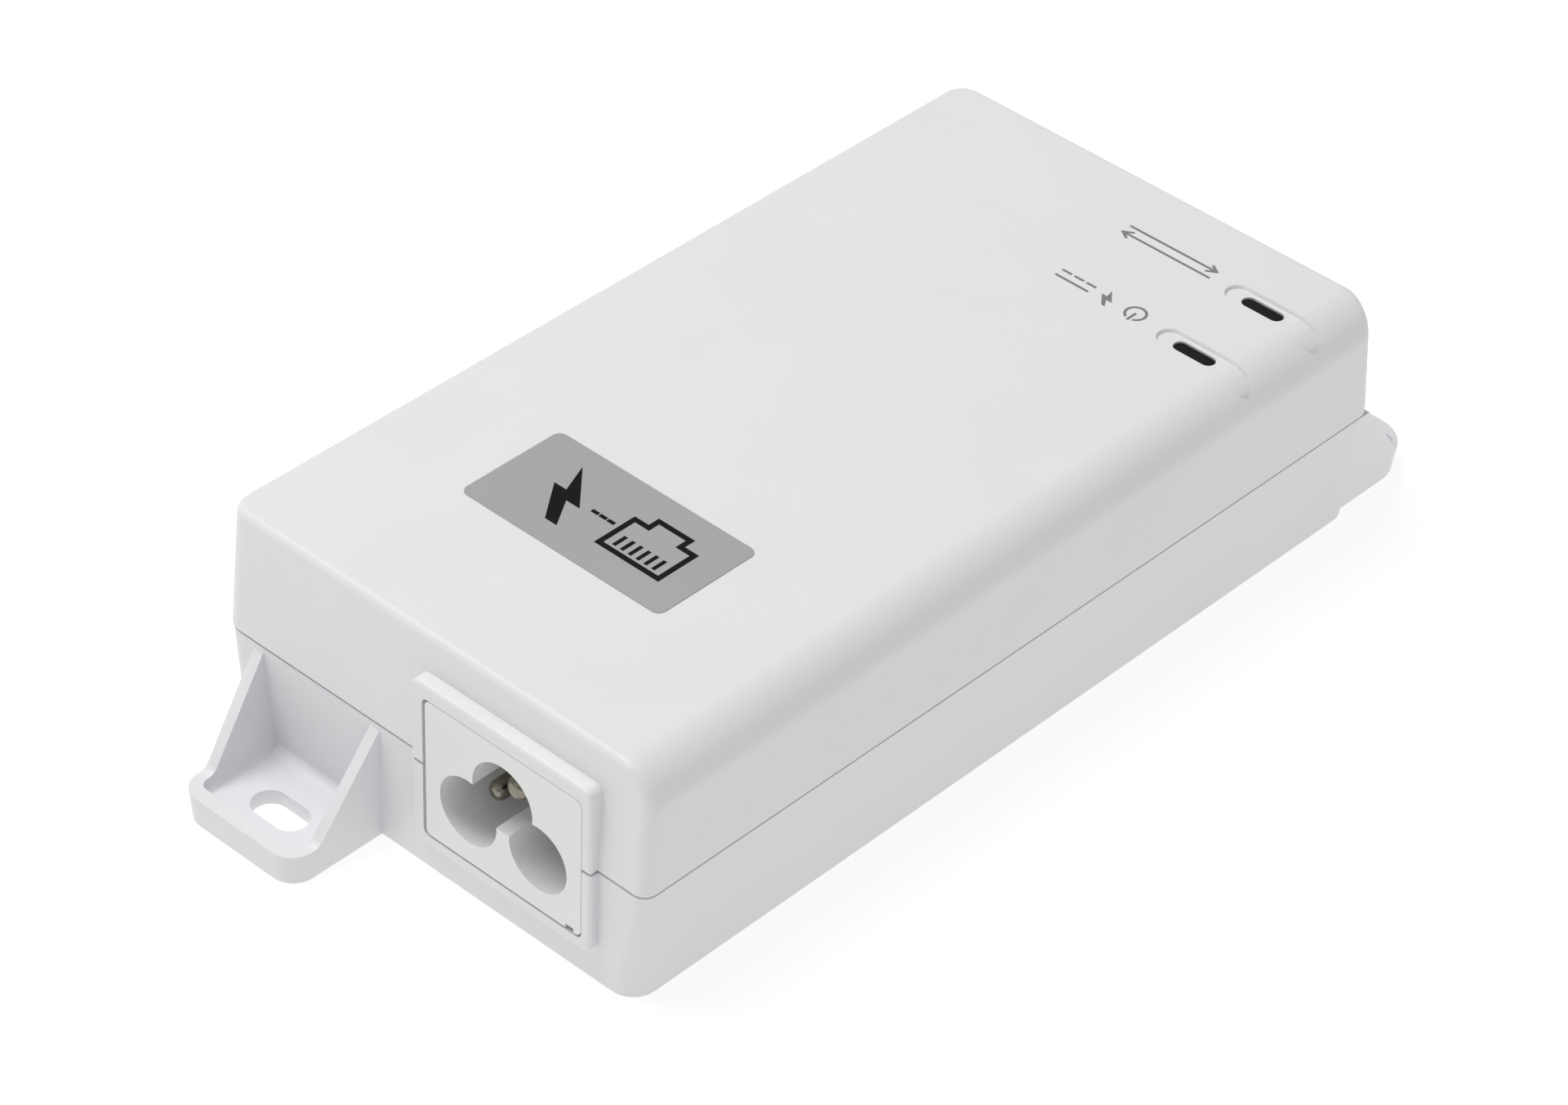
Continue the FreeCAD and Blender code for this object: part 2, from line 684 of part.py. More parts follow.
def inlet():
    face = block("inlet_face", "inlet_across", f"({INLET_FACE} + (wall + inlet_proud) / 2)",
                 "seam_height - inlet_height / 2", "inlet_width", "wall + inlet_proud",
                 "inlet_height")
    face_round = rounded("inlet_face_round", face,
                         lambda edge: size("inlet_corner") if direction(edge) == "y" else 0)
    flange_y = (f"({NEAR} + wall + case_inset + cover_end_slope * (inlet_height / 2 + inlet_flange)"
                " + fit_gap + inlet_flange_depth / 2)")
    flange = block("inlet_flange_block", "inlet_across", flange_y,
                   "seam_height - inlet_height / 2 - inlet_flange", "inlet_width + 2 * inlet_flange",
                   "inlet_flange_depth", "inlet_height + 2 * inlet_flange")
    rear = block("inlet_rear", "inlet_across", f"({INLET_FACE} + inlet_depth / 2)",
                 "seam_height - inlet_rear_height / 2", "inlet_rear_width", "inlet_depth",
                 "inlet_rear_height")
    lobes = [cylinder("left_lobe", "inlet_across - lobe_spacing / 2", f"{INLET_FACE} - overcut", LOBE_Z,
                      "lobe_radius", "socket_depth + overcut", ALONG_Y),
             cylinder("right_lobe", "inlet_across + lobe_spacing / 2", f"{INLET_FACE} - overcut", LOBE_Z,
                      "lobe_radius", "socket_depth + overcut", ALONG_Y),
             cylinder("earth_lobe", "inlet_across", f"{INLET_FACE} - overcut", EARTH_Z,
                      "lobe_radius + earth_lobe_extra", "socket_depth + overcut", ALONG_Y)]
    pins = {"line_pin": ("inlet_across + lobe_spacing / 2", LOBE_Z, "pin_radius", "pin_recess"),
            "neutral_pin": ("inlet_across - lobe_spacing / 2", LOBE_Z, "pin_radius", "pin_recess"),
            "earth_pin": ("inlet_across", EARTH_Z, "earth_pin_radius", "earth_pin_recess")}
    bores = []
    for label, (x, z, radius, recess) in pins.items():
        start = f"{INLET_FACE} + {recess} + {radius}"
        length = f"inlet_depth - {recess} - {radius} + pin_tail"
        shank = cylinder(f"{label}_shank", x, start, z, radius, length, ALONG_Y)
        tip = primitive("Sphere", f"{label}_tip", (x, start, z), Radius=radius)
        bores.append(cylinder(f"{label}_bore", x, start, z, radius, length, ALONG_Y))
        keep(joined(f"{label}_solid", shank, tip), label)
    keep(cut("inlet_solid", joined("inlet_body", face_round, flange, rear), *lobes, *bores),
         "inlet_housing")


# ---------------------------------------------------------------- modular jacks

def jack(label):
    x = JACKS[label]
    floor_z = f"({BOARD_TOP} + shield_thickness)"
    middle = f"({JACK_FACE} - jack_depth / 2)"
    body = block(f"{label}_body", x, middle, floor_z, "jack_width", "jack_depth", "jack_height")
    port_y = f"({JACK_FACE} + (overcut - port_depth) / 2)"
    port_z = f"({floor_z} + port_base)"
    spaces = [block(f"{label}_port", x, port_y, port_z, "port_width", "port_depth + overcut", "port_height"),
              block(f"{label}_key", x, port_y, f"{port_z} - key_height", "key_width",
                    "port_depth + overcut", "key_height + key_overlap"),
              block(f"{label}_latch", x, port_y, f"{port_z} - key_height - latch_height",
                    "latch_width", "port_depth + overcut", "latch_height + key_overlap")]
    spread = "(jack_width + 2 * shield_thickness)"
    can = block(f"{label}_can", x, f"({JACK_FACE} - (jack_depth + shield_thickness) / 2)", BOARD_TOP,
                spread, "jack_depth + shield_thickness", "jack_height + 2 * shield_thickness")
    room = block(f"{label}_room", x, middle, floor_z, "jack_width", "jack_depth", "jack_height")
    mouth = block(f"{label}_mouth", x, JACK_FACE, floor_z, "jack_width", "overcut", "jack_height")
    keep(cut(f"{label}_shield_can", can, room, mouth), f"{label}_jack_shield")

    springs = []
    for i in range(CONTACTS):
        spring = doc.addObject("Part::Box", f"{label}_spring_{i}")
        spring.setExpression("Length", linked("contact_thickness"))
        spring.setExpression("Width", linked("contact_length"))
        spring.setExpression("Height", linked("contact_thickness"))
        tilt = FreeCAD.Rotation(FreeCAD.Vector(1, 0, 0), CONTACT_TILT)
        shift = i - (CONTACTS - 1) / 2
        springs.append(place(spring, f"{x} + contact_pitch * {shift} - contact_thickness / 2",
                             f"{JACK_FACE} - port_depth - contact_root",
                             f"{port_z} + port_height - contact_drop", tilt))
    contacts = keep(group(f"{label}_springs", springs), f"{label}_jack_contacts")
    keep(cut(f"{label}_housing", body, contacts, *spaces), f"{label}_jack_housing")


# ---------------------------------------------------------------- board, sheet and screws

def board():
    plate = box("board_plate", "-board_width / 2", "board_width / 2", f"{NEAR} + board_end_gap",
                f"{HALF_LENGTH} - board_far_gap", "board_underside", BOARD_TOP)
    notches = [cylinder(f"board_notch_{i}", x, y, "0", "boss_radius + 2 * fit_gap", "seam_height")
               for i, (x, y) in enumerate(BOSSES)]
    holes = [cylinder(f"board_hole_{i}", x, y, "0", "board_screw_radius + fit_gap", "seam_height")
             for i, (x, y) in enumerate(POSTS)]
    keep(cut("board_cut", plate, *notches, *holes), "main_board")

    film = box("film", "-board_width / 2 + sheet_margin", "board_width / 2 - sheet_margin",
               f"{NEAR} + board_end_gap", f"{HALF_LENGTH} - board_far_gap - sheet_margin",
               "wall", "wall + sheet_thickness")
    film_holes = [cylinder(f"film_hole_{i}", x, y, "0", "boss_radius + 2 * fit_gap", "seam_height")
                  for i, (x, y) in enumerate(BOSSES)]
    film_posts = [cylinder(f"film_post_{i}", x, y, "0", "post_radius + fit_gap", "seam_height")
                  for i, (x, y) in enumerate(POSTS)]
    keep(cut("film_cut", film, *film_holes, *film_posts), "insulating_sheet")


def screws():
    long_screws = []
    for i, (x, y) in enumerate(BOSSES):
        head = cylinder(f"screw_head_{i}", x, y, "screw_seat - screw_head_height",
                        "screw_head_radius", "screw_head_height")
        shank = cylinder(f"screw_shank_{i}", x, y, "screw_seat", "screw_radius", "screw_length")
        drive = cylinder(f"screw_drive_{i}", x, y, "screw_seat - screw_head_height - overcut",
                         "screw_head_radius / 3", "2 * overcut")
        long_screws.append(cut(f"case_screw_{i}", joined(f"screw_{i}", head, shank), drive))
    keep(group("case_screw_group", long_screws), "case_screws")
    short_screws = []
    for i, (x, y) in enumerate(POSTS):
        head = cylinder(f"board_screw_head_{i}", x, y, BOARD_TOP, "board_screw_head",
                        "board_screw_head_height")
        shank = cylinder(f"board_screw_shank_{i}", x, y,
                         f"{BOARD_TOP} - board_screw_length + board_screw_short",
                         "board_screw_radius", "board_screw_length - board_screw_short")
        short_screws.append(joined(f"board_screw_{i}", head, shank))
    keep(group("board_screw_group", short_screws), "board_screws")


# ---------------------------------------------------------------- indicators and labels

def indicators():
    top = "(body_height - dish_depth - lens_sunk)"
    for lens, y in LENSES.items():
        column = stadium(f"{lens}_column", LENS_X, y, "pipe_foot", "lens_length", "lens_width",
                         f"{top} - pipe_foot")
        flange = stadium(f"{lens}_flange", LENS_X, y, f"{CEILING} - pipe_flange_drop",
                         "lens_length + 2 * pipe_flange", "lens_width + 2 * pipe_flange",
                         "pipe_flange_height")
        keep(joined(f"{lens}_pipe", column, flange), f"{lens}_light_pipe")
        keep(rounded_block(f"{lens}_led_body", LENS_X, y, BOARD_TOP, "led_length", "led_width",
                           "led_height", size("led_round")), f"{lens}_led")


def labels():
    keep(rounded_block("name_label_plate", "label_across", f"({NEAR} + label_from_near)", "body_height",
                       "label_width", "label_length", "label_thickness", size("label_corner")),
         "name_label")
    keep(rounded_block("rating_label_plate", "0", "0", "plate_sunk - label_thickness", "plate_width",
                       "plate_length", "label_thickness", size("label_corner")), "rating_label")


# ---------------------------------------------------------------- mains side of the supply

def mains_side():
    fuse_z = f"({BOARD_TOP} + fuse_rise)"
    fuse_x, fuse_y = f"(-{HALF_WIDTH} + fuse_across)", f"({NEAR} + fuse_near)"
    keep(cylinder("fuse_tube", f"{fuse_x} - fuse_length / 2", fuse_y, fuse_z, "fuse_radius",
                  "fuse_length", ALONG_X), "mains_fuse")
    clips = []
    for i, x in enumerate((f"{fuse_x} - clip_shift", f"{fuse_x} + clip_shift")):
        cheeks = block(f"clip_cheeks_{i}", x, fuse_y, BOARD_TOP, "clip_length", "clip_width",
                       "clip_height")
        seat = cylinder(f"clip_seat_{i}", f"{x} - clip_length", fuse_y, fuse_z, "fuse_radius",
                        "2 * clip_length", ALONG_X)
        slit = block(f"clip_slit_{i}", x, fuse_y, fuse_z, "2 * clip_length", "clip_slit", "clip_height")
        clips.append(cut(f"fuse_clip_{i}", cheeks, seat, slit))
    keep(group("fuse_clip_pair", clips), "fuse_clips")

    disc_y = f"({NEAR} + disc_near)"
    for label in ("varistor", "thermistor"):
        x, radius = f"(-{HALF_WIDTH} + {label}_across)", f"{label}_radius"
        disc = cylinder(f"{label}_disc", x, f"{disc_y} - disc_thickness / 2",
                        f"{BOARD_TOP} + disc_lift + {radius}", radius, "disc_thickness", ALONG_Y)
        legs = [cylinder(f"{label}_leg_{i}", f"{x} {sign} disc_leg_spread", disc_y, BOARD_TOP,
                         "disc_leg_radius", "disc_leg_length") for i, sign in enumerate("-+")]
        keep(joined(f"{label}_solid", disc, *legs), label)

    keep(rounded_block("film_capacitor", "inlet_across", f"({NEAR} + film_capacitor_near)", BOARD_TOP,
                       "film_capacitor_width", "film_capacitor_length", "film_capacitor_height",
                       size("film_capacitor_round")), "x_capacitor")

    choke = (f"(-{HALF_WIDTH} + choke_across)", f"({NEAR} + choke_near)")

    def choke_ring(name):
        ring = cylinder(f"{name}_ring", *choke, f"{BOARD_TOP} + choke_lift", "choke_radius",
                        "choke_height")
        eye = cylinder(f"{name}_eye", *choke, BOARD_TOP, "choke_eye", "choke_lift + 2 * choke_height")
        return cut(name, ring, eye)
    keep(choke_ring("choke_core_ring"), "choke_core")
    coils = []
    for i, sign in enumerate("-+"):
        outer = cylinder(f"coil_outer_{i}", *choke, BOARD_TOP, "coil_radius", "coil_height")
        inner = cylinder(f"coil_inner_{i}", *choke, BOARD_TOP, "coil_eye", "coil_height")
        window = block(f"coil_window_{i}", f"{choke[0]} {sign} coil_shift", choke[1], BOARD_TOP,
                       "coil_width", "3 * coil_radius", "coil_height")
        half = common(f"coil_half_{i}", cut(f"coil_tube_{i}", outer, inner), window)
        coils.append(cut(f"coil_{i}", half, choke_ring(f"coil_core_{i}")))
    keep(group("choke_coils", coils), "choke_windings")

    keep(rounded_block("bridge_block", "inlet_across + bridge_shift", f"({NEAR} + bridge_near)",
                       BOARD_TOP, "bridge_width", "bridge_length", "bridge_height",
                       size("bridge_round")), "bridge_rectifier")
    keep(can("bulk_can", f"({HALF_WIDTH} - bulk_side)", f"({NEAR} + bulk_near)", "bulk_radius",
             "bulk_height", size("can_round")), "bulk_capacitor")


def can(name, x, y, radius, height, top_round):
    """A capacitor can that stands on the board, its top edge rounded."""
    body = cylinder(f"{name}_body", x, y, BOARD_TOP, radius, height)
    return rounded(name, body, lambda edge: top_round if edge.BoundBox.ZMin > size("seam_height") else 0)


# ---------------------------------------------------------------- power stage

def heatsink(label, device, x, y, side):
    """A plate on edge with a device screwed to it; side says which way the device looks."""
    plate = block(f"{label}_sink_plate", x, y, BOARD_TOP, "sink_thickness", "sink_length", "sink_height")
    height = f"{BOARD_TOP} + sink_screw_rise"
    hole = cylinder(f"{label}_sink_hole", f"{x} - 2 * sink_thickness", y, height, "sink_screw_radius",
                    "4 * sink_thickness", ALONG_X)
    keep(cut(f"{label}_sink", plate, hole), f"{label}_heatsink")
    lift = f"{BOARD_TOP} + package_lift"
    tab = block(f"{label}_tab", f"{x} + {side} * (sink_thickness + tab_thickness) / 2", y, lift,
                "tab_thickness", "tab_width", "tab_height")
    package_x = f"{x} + {side} * (sink_thickness / 2 + tab_thickness + package_thickness / 2)"
    package = block(f"{label}_case", package_x, y, lift, "package_thickness", "tab_width",
                    "package_height")
    legs = [block(f"{label}_leg_{i + 1}", f"{x} + {side} * leg_stand_off", f"{y} + {i} * leg_pitch",
                  BOARD_TOP, "leg_thickness", "leg_width", "package_lift + leg_overlap")
            for i in (-1, 0, 1)]
    tab_hole = cylinder(f"{label}_tab_hole", f"{x} - 2 * sink_thickness", y, height,
                        "sink_screw_radius", "4 * sink_thickness", ALONG_X)
    keep(cut(f"{label}_package", joined(f"{label}_solid", tab, package, *legs), tab_hole), device)
    reach = "(sink_thickness + tab_thickness)"
    face = f"{x} + {side} * (sink_thickness / 2 + tab_thickness)"
    head = cylinder(f"{label}_screw_head", f"{face} + ({side} - 1) * sink_screw_head_height / 2", y,
                    height, "sink_screw_head", "sink_screw_head_height", ALONG_X)
    shank = cylinder(f"{label}_screw_shank", f"{x} + ({side} * tab_thickness - {reach}) / 2", y, height,
                     "sink_screw_radius", reach, ALONG_X)
    return joined(f"{label}_screw", head, shank)


def transformer():
    core, foot = ("core_x", "core_y"), f"{BOARD_TOP} + core_lift"
    yoke = block("core_yoke", *core, foot, "core_width", "core_length", "core_height")
    windows = [block(f"core_window_{i}", f"core_x {sign} window_shift", "core_y",
                     f"{foot} + window_rise", "window_width", "core_length + 2 * overcut",
                     "window_height") for i, sign in enumerate("-+")]
    keep(cut("core_e_pair", yoke, *windows), "transformer_core")
    spool = block("bobbin_spool", *core, f"{foot} + spool_rise", "spool_width", "spool_length",
                  "spool_height")
    bore = block("bobbin_bore", *core, BOARD_TOP, "spool_bore_width", "spool_bore_length",
                 "core_lift + core_height + spool_rise")
    pockets = [block(f"bobbin_pocket_{i}", f"core_x {sign} spool_pocket_shift", "core_y",
                     f"{foot} + spool_rise - overcut", "spool_pocket_width", "spool_pocket_length",
                     "spool_height + 2 * overcut") for i, sign in enumerate("-+")]
    ends = [block(f"bobbin_end_{i}", "core_x", f"core_y {sign} spool_end_shift", BOARD_TOP,
                  "spool_width", "spool_end_thickness", "spool_end_height")
            for i, sign in enumerate("-+")]
    keep(joined("bobbin_solid", cut("bobbin_cut", spool, bore, *pockets), *ends), "transformer_bobbin")
    turns = [block(f"winding_{i}", f"core_x {sign} spool_pocket_shift", "core_y",
                   f"{foot} + winding_rise", "spool_pocket_width - 2 * winding_gap",
                   "spool_pocket_length - 2 * winding_gap", "winding_height")
             for i, sign in enumerate("-+")]
    keep(group("winding_pair", turns), "transformer_windings")


def power_stage():
    sink_screws = [heatsink("transistor", "switching_transistor", f"(-{HALF_WIDTH} + sink_side)",
                            "-transistor_back", 1),
                   heatsink("diode", "output_diode", f"({HALF_WIDTH} - sink_side)", "diode_ahead", -1)]
    keep(group("sink_screw_pair", sink_screws), "heatsink_screws")
    transformer()

    y_disc = cylinder("y_disc", "-safety_disc_x", "safety_disc_y", f"{BOARD_TOP} + safety_disc_rise",
                      "safety_disc_radius", "safety_disc_thickness", ALONG_Y)
    y_legs = [cylinder(f"y_leg_{i}", f"-safety_disc_x {sign} safety_leg_spread",
                       "safety_disc_y + safety_disc_thickness / 2", BOARD_TOP, "safety_leg_radius",
                       "disc_leg_length") for i, sign in enumerate("-+")]
    keep(joined("y_capacitor_solid", y_disc, *y_legs), "y_capacitor")
    keep(block("opto_block", "-safety_disc_x", "opto_y", BOARD_TOP, "opto_width", "opto_length",
               "opto_height"), "optocoupler")
    keep(block("driver_block", "-safety_disc_x", "-driver_back", BOARD_TOP, "driver_width",
               "driver_length", "driver_height"), "pwm_controller")

    cans = [can(f"output_can_{i}", f"-output_can_left + {i} * output_can_pitch",
                f"({HALF_LENGTH} - output_can_far)", "output_can_radius", "output_can_height",
                size("output_can_round")) for i in (0, 1)]
    keep(group("output_can_pair", cans), "output_capacitors")
    drum = cylinder("drum_wire", "-drum_x", "drum_y", BOARD_TOP, "drum_radius", "drum_height")
    caps = [cylinder(f"drum_cheek_{i}", "-drum_x", "drum_y", z, "drum_cheek_radius", "drum_cheek_height")
            for i, z in enumerate((BOARD_TOP, f"{BOARD_TOP} + drum_height - overcut"))]
    keep(joined("drum_solid", drum, *caps), "output_inductor")


# ---------------------------------------------------------------- network side

def network_side():
    far, side = HALF_LENGTH, f"({HALF_WIDTH} - magnetics_side)"
    keep(block("magnetics_block", f"-{side}", f"({far} - magnetics_far)", BOARD_TOP, "magnetics_width",
               "magnetics_length", "magnetics_height"), "data_transformer")
    keep(block("controller_block", side, f"({far} - controller_far)", BOARD_TOP, "controller_width",
               "controller_length", "controller_height"), "power_controller")
    keep(block("sense_block", side, f"({far} - sense_far)", BOARD_TOP, "sense_width", "sense_length",
               "sense_height"), "sense_resistor")


# ---------------------------------------------------------------- the whole injector

bottom_case()
top_cover()
inlet()
for name in JACKS:
    jack(name)
board()
screws()
indicators()
labels()
mains_side()
power_stage()
network_side()
doc.recompute()

for item in doc.Objects:
    if "Invalid" in item.State or "Error" in item.State:
        raise SystemExit(f"{item.Name}: {item.State}")
for part in parts:
    if part.Shape.isNull() or not part.Shape.isValid() or not part.Shape.Solids:
        raise SystemExit(f"{part.Label}: bad shape")

os.makedirs("parts", exist_ok=True)
for part in parts:
    part.Shape.exportStep(f"parts/{part.Label}.step")
    print(f"{part.Label}: {len(part.Shape.Solids)} solid(s), {part.Shape.Volume:.1f} mm3")
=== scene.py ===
import math

import bmesh
import bpy
from mathutils import Matrix, Vector


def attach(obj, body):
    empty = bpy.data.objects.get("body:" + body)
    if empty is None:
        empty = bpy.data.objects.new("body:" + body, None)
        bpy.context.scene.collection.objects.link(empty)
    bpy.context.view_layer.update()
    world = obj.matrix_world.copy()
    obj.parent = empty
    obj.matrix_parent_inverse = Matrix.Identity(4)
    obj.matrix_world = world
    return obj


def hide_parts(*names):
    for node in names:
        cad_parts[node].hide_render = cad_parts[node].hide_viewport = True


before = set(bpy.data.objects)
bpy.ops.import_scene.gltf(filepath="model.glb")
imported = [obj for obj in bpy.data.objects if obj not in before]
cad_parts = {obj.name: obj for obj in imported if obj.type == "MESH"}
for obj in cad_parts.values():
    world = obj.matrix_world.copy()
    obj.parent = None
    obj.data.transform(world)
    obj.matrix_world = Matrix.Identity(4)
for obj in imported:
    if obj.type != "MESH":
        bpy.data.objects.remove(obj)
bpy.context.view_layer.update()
mm = 0.001
print("frame in place:", len(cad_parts), "nodes")


# ---- small tools: everything below is given in millimetres

def only(obj):  # leave just this one selected and active
    if bpy.context.mode != "OBJECT":
        bpy.ops.object.mode_set(mode="OBJECT")
    bpy.ops.object.select_all(action="DESELECT")
    if obj:
        obj.select_set(True)
        bpy.context.view_layer.objects.active = obj
    return obj


def named(name):  # name what was just added and put its place in its mesh
    obj = bpy.context.object
    obj.name = obj.data.name = name
    bpy.ops.object.transform_apply(location=True, rotation=True, scale=True)
    return obj


def addBox(name, low, high):
    only(None)
    bpy.ops.mesh.primitive_cube_add(size=1, location=[(a + b) / 2 * mm for a, b in zip(low, high)],
                                    scale=[(b - a) * mm for a, b in zip(low, high)])
    return named(name)


def addRod(name, middle, radius, length, axis="z", sides=64):
    turns = {"x": (0, math.pi / 2, 0), "y": (math.pi / 2, 0, 0), "z": (0, 0, 0)}
    only(None)
    bpy.ops.mesh.primitive_cylinder_add(vertices=sides, radius=radius * mm, depth=length * mm,
                                        location=[c * mm for c in middle], rotation=turns[axis])
    return named(name)


def boxEdges(obj, radiusOf, segments=6):
    # round edges by a radius that depends on their place and direction, all in one go
    data = obj.data
    weights = data.attributes.get("bevel_weight_edge") or data.attributes.new(
        "bevel_weight_edge", "FLOAT", "EDGE")
    radii = []
    for edge in data.edges:
        a, b = (data.vertices[i].co / mm for i in edge.vertices)
        radii.append(radiusOf((a + b) / 2, (b - a).normalized()) or 0)
    widest = max(radii)
    weights.data.foreach_set("value", [r / widest for r in radii])
    modify(obj, "BEVEL", limit_method="WEIGHT", width=widest * mm, segments=segments,
           use_clamp_overlap=True)
    left = obj.data.attributes.get("bevel_weight_edge")
    if left:
        obj.data.attributes.remove(left)
    return obj


def modify(obj, kind, **settings):
    only(obj)
    modifier = obj.modifiers.new(kind.lower(), kind)
    for key, value in settings.items():
        setattr(modifier, key, value)
    bpy.ops.object.modifier_apply(modifier=modifier.name)
    return obj


def combine(obj, tools, operation="DIFFERENCE"):
    for tool in tools:
        modify(obj, "BOOLEAN", operation=operation, object=tool, solver="EXACT")
        bpy.data.objects.remove(tool)
    return obj


def softenSharp(obj, radius, angle=35, segments=2):
    return modify(obj, "BEVEL", limit_method="ANGLE", angle_limit=math.radians(angle),
                  width=radius * mm, segments=segments, use_clamp_overlap=True)


def pushTop(obj, height, across, along):  # scale the face at the top about the middle line
    only(obj)
    bpy.ops.object.mode_set(mode="EDIT")
    bpy.ops.mesh.select_mode(type="FACE")
    bpy.ops.mesh.select_all(action="DESELECT")
    grid = bmesh.from_edit_mesh(obj.data)
    for face in grid.faces:
        face.select_set(face.normal.z > 0.9)
    bmesh.update_edit_mesh(obj.data)
    bpy.ops.transform.resize(value=(across, along, 1), center_override=(0, 0, height * mm))
    bpy.ops.object.mode_set(mode="OBJECT")
    return obj


def leanSide(obj, test, shift):  # slide the corners that pass the test
    for vertex in obj.data.vertices:
        if test(vertex.co / mm):
            vertex.co += Vector(shift) * mm
    return obj


def slotPost(name, x, y, low, high, length, width, sides=40):
    # an upright post with round ends, long across x
    post = addBox(name, (x - length / 2, y - width / 2, low), (x + length / 2, y + width / 2, high))
    return boxEdges(post, lambda p, d: (width / 2 - 0.001) if abs(d.z) > 0.9 else 0, sides // 4)


def joinAll(name, pieces):
    only(None)
    for piece in pieces:
        piece.select_set(True)
    bpy.context.view_layer.objects.active = pieces[0]
    bpy.ops.object.join()
    pieces[0].name = pieces[0].data.name = name
    return pieces[0]


def finish(obj, look, slot, *nodes, angle=30):
    # clean the mesh, smooth it, weight its normals, paint it, and hand it to the frame
    only(obj)
    bpy.ops.object.mode_set(mode="EDIT")
    bpy.ops.mesh.select_all(action="SELECT")
    bpy.ops.mesh.remove_doubles(threshold=0.0005 * mm)
    bpy.ops.mesh.dissolve_degenerate(threshold=0.0002 * mm)
    bpy.ops.mesh.normals_make_consistent(inside=False)
    bpy.ops.object.mode_set(mode="OBJECT")
    bpy.ops.object.shade_smooth_by_angle(angle=math.radians(angle))
    modify(obj, "WEIGHTED_NORMAL", keep_sharp=True, weight=100)
    obj.data.materials.clear()
    obj.data.materials.append(look)
    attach(obj, "root")
    if nodes:
        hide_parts(*nodes)
    print("  ", obj.name, len(obj.data.polygons), "faces")
    return obj


# ---- finishes

class Shade:
    def __init__(self, tree, socket=None):
        self.tree, self.socket = tree, socket

    def node(self, kind, settings=None, sockets=None, output=0):
        made = self.tree.nodes.new(kind)
        for key, value in (settings or {}).items():
            if key == "stops":
                ramp = made.color_ramp
                while len(ramp.elements) < len(value):
                    ramp.elements.new(0.5)
                for element, (place, shade) in zip(ramp.elements, value):
                    element.position, element.color = place, (*shade, 1)
            else:
                setattr(made, key, value)
        for key, value in (sockets or {}).items():
            if isinstance(value, Shade):
                self.tree.links.new(value.socket, made.inputs[key])
            else:
                made.inputs[key].default_value = value
        return Shade(self.tree, made.outputs[output])

    def sum(self, operation, first, second=0.0):
        return self.node("ShaderNodeMath", {"operation": operation}, {0: first, 1: second})

    def __add__(self, other):
        return self.sum("ADD", self, other)

    def __sub__(self, other):
        return self.sum("SUBTRACT", self, other)

    def __mul__(self, other):
        return self.sum("MULTIPLY", self, other)

    def __gt__(self, other):
        return self.sum("GREATER_THAN", self, other)

    def __radd__(self, other):
        return self.sum("ADD", other, self)

    def __rsub__(self, other):
        return self.sum("SUBTRACT", other, self)

    def __rmul__(self, other):
        return self.sum("MULTIPLY", other, self)

    def noise(self, size, detail=2.0, rough=0.5, stretch=(1, 1, 1)):  # size of one blob, mm
        place = self.node("ShaderNodeMapping", {}, {"Vector": self, "Scale": stretch})
        return self.node("ShaderNodeTexNoise", {}, {"Vector": place, "Scale": 1 / (size * mm),
                                                    "Detail": detail, "Roughness": rough})

    def cells(self, size, feature="F1"):
        return self.node("ShaderNodeTexVoronoi", {"feature": feature},
                         {"Vector": self, "Scale": 1 / (size * mm)})

    def bands(self, pitch, direction="Y", wobble=0.0):
        return self.node("ShaderNodeTexWave", {"bands_direction": direction},
                         {"Vector": self, "Scale": 0.314 / (pitch * mm), "Distortion": wobble})

    def blend(self, low, high):  # colour from low to high by this value
        return self.node("ShaderNodeMix", {"data_type": "RGBA"},
                         {0: self, 6: (*low, 1), 7: high if isinstance(high, Shade) else (*high, 1)}, 2)

    def ramp(self, *stops):
        return self.node("ShaderNodeValToRGB", {"stops": stops}, {"Fac": self})

    def bump(self, depth, strength=1.0):  # depth in mm
        return self.node("ShaderNodeBump", {}, {"Height": self, "Distance": depth * mm,
                                                "Strength": strength})


def makeFinish(name, paint, **fixed):
    look = bpy.data.materials.new(name)
    look.use_nodes = True
    shader = look.node_tree.nodes["Principled BSDF"]
    for key, value in fixed.items():
        shader.inputs[key.replace("_", " ")].default_value = value
    place = Shade(look.node_tree).node("ShaderNodeTexCoord", output="Object")
    for key, value in paint(place).items():
        look.node_tree.links.new(value.socket, shader.inputs[key])
    return look


def lighter(colour, share):
    return tuple(min(1, c * share) for c in colour)


def moulded(colour, grain, depth, rough, mottle=0.02):
    # moulded plastic: fine spark-eroded grain, a faint cloudiness, slight gloss changes
    def paint(place):
        fine = place.noise(grain, 3, 0.6)
        cloud = place.noise(14, 2)
        return {"Base Color": cloud.blend(lighter(colour, 1 - mottle), lighter(colour, 1 + mottle)),
                "Roughness": rough - 0.04 + fine * 0.08,
                "Normal": (fine + place.cells(grain * 1.7) * 0.5).bump(depth)}
    return paint


def metal(colour, rough, stretch=(1, 1, 1), grain=0.25, depth=0.004):
    def paint(place):
        scratches = place.noise(grain, 4, 0.65, stretch)
        return {"Base Color": place.noise(3).blend(lighter(colour, 0.9), lighter(colour, 1.06)),
                "Roughness": rough - 0.05 + scratches * 0.12,
                "Normal": scratches.bump(depth, 0.6)}
    return paint


def wound(low, high, pitch, direction, rough=0.35):  # turns of wire or tape
    def paint(place):
        turns = place.bands(pitch, direction, 0.6)
        return {"Base Color": turns.blend(low, high), "Normal": turns.bump(pitch * 0.35),
                "Roughness": rough + place.noise(0.6) * 0.15}
    return paint


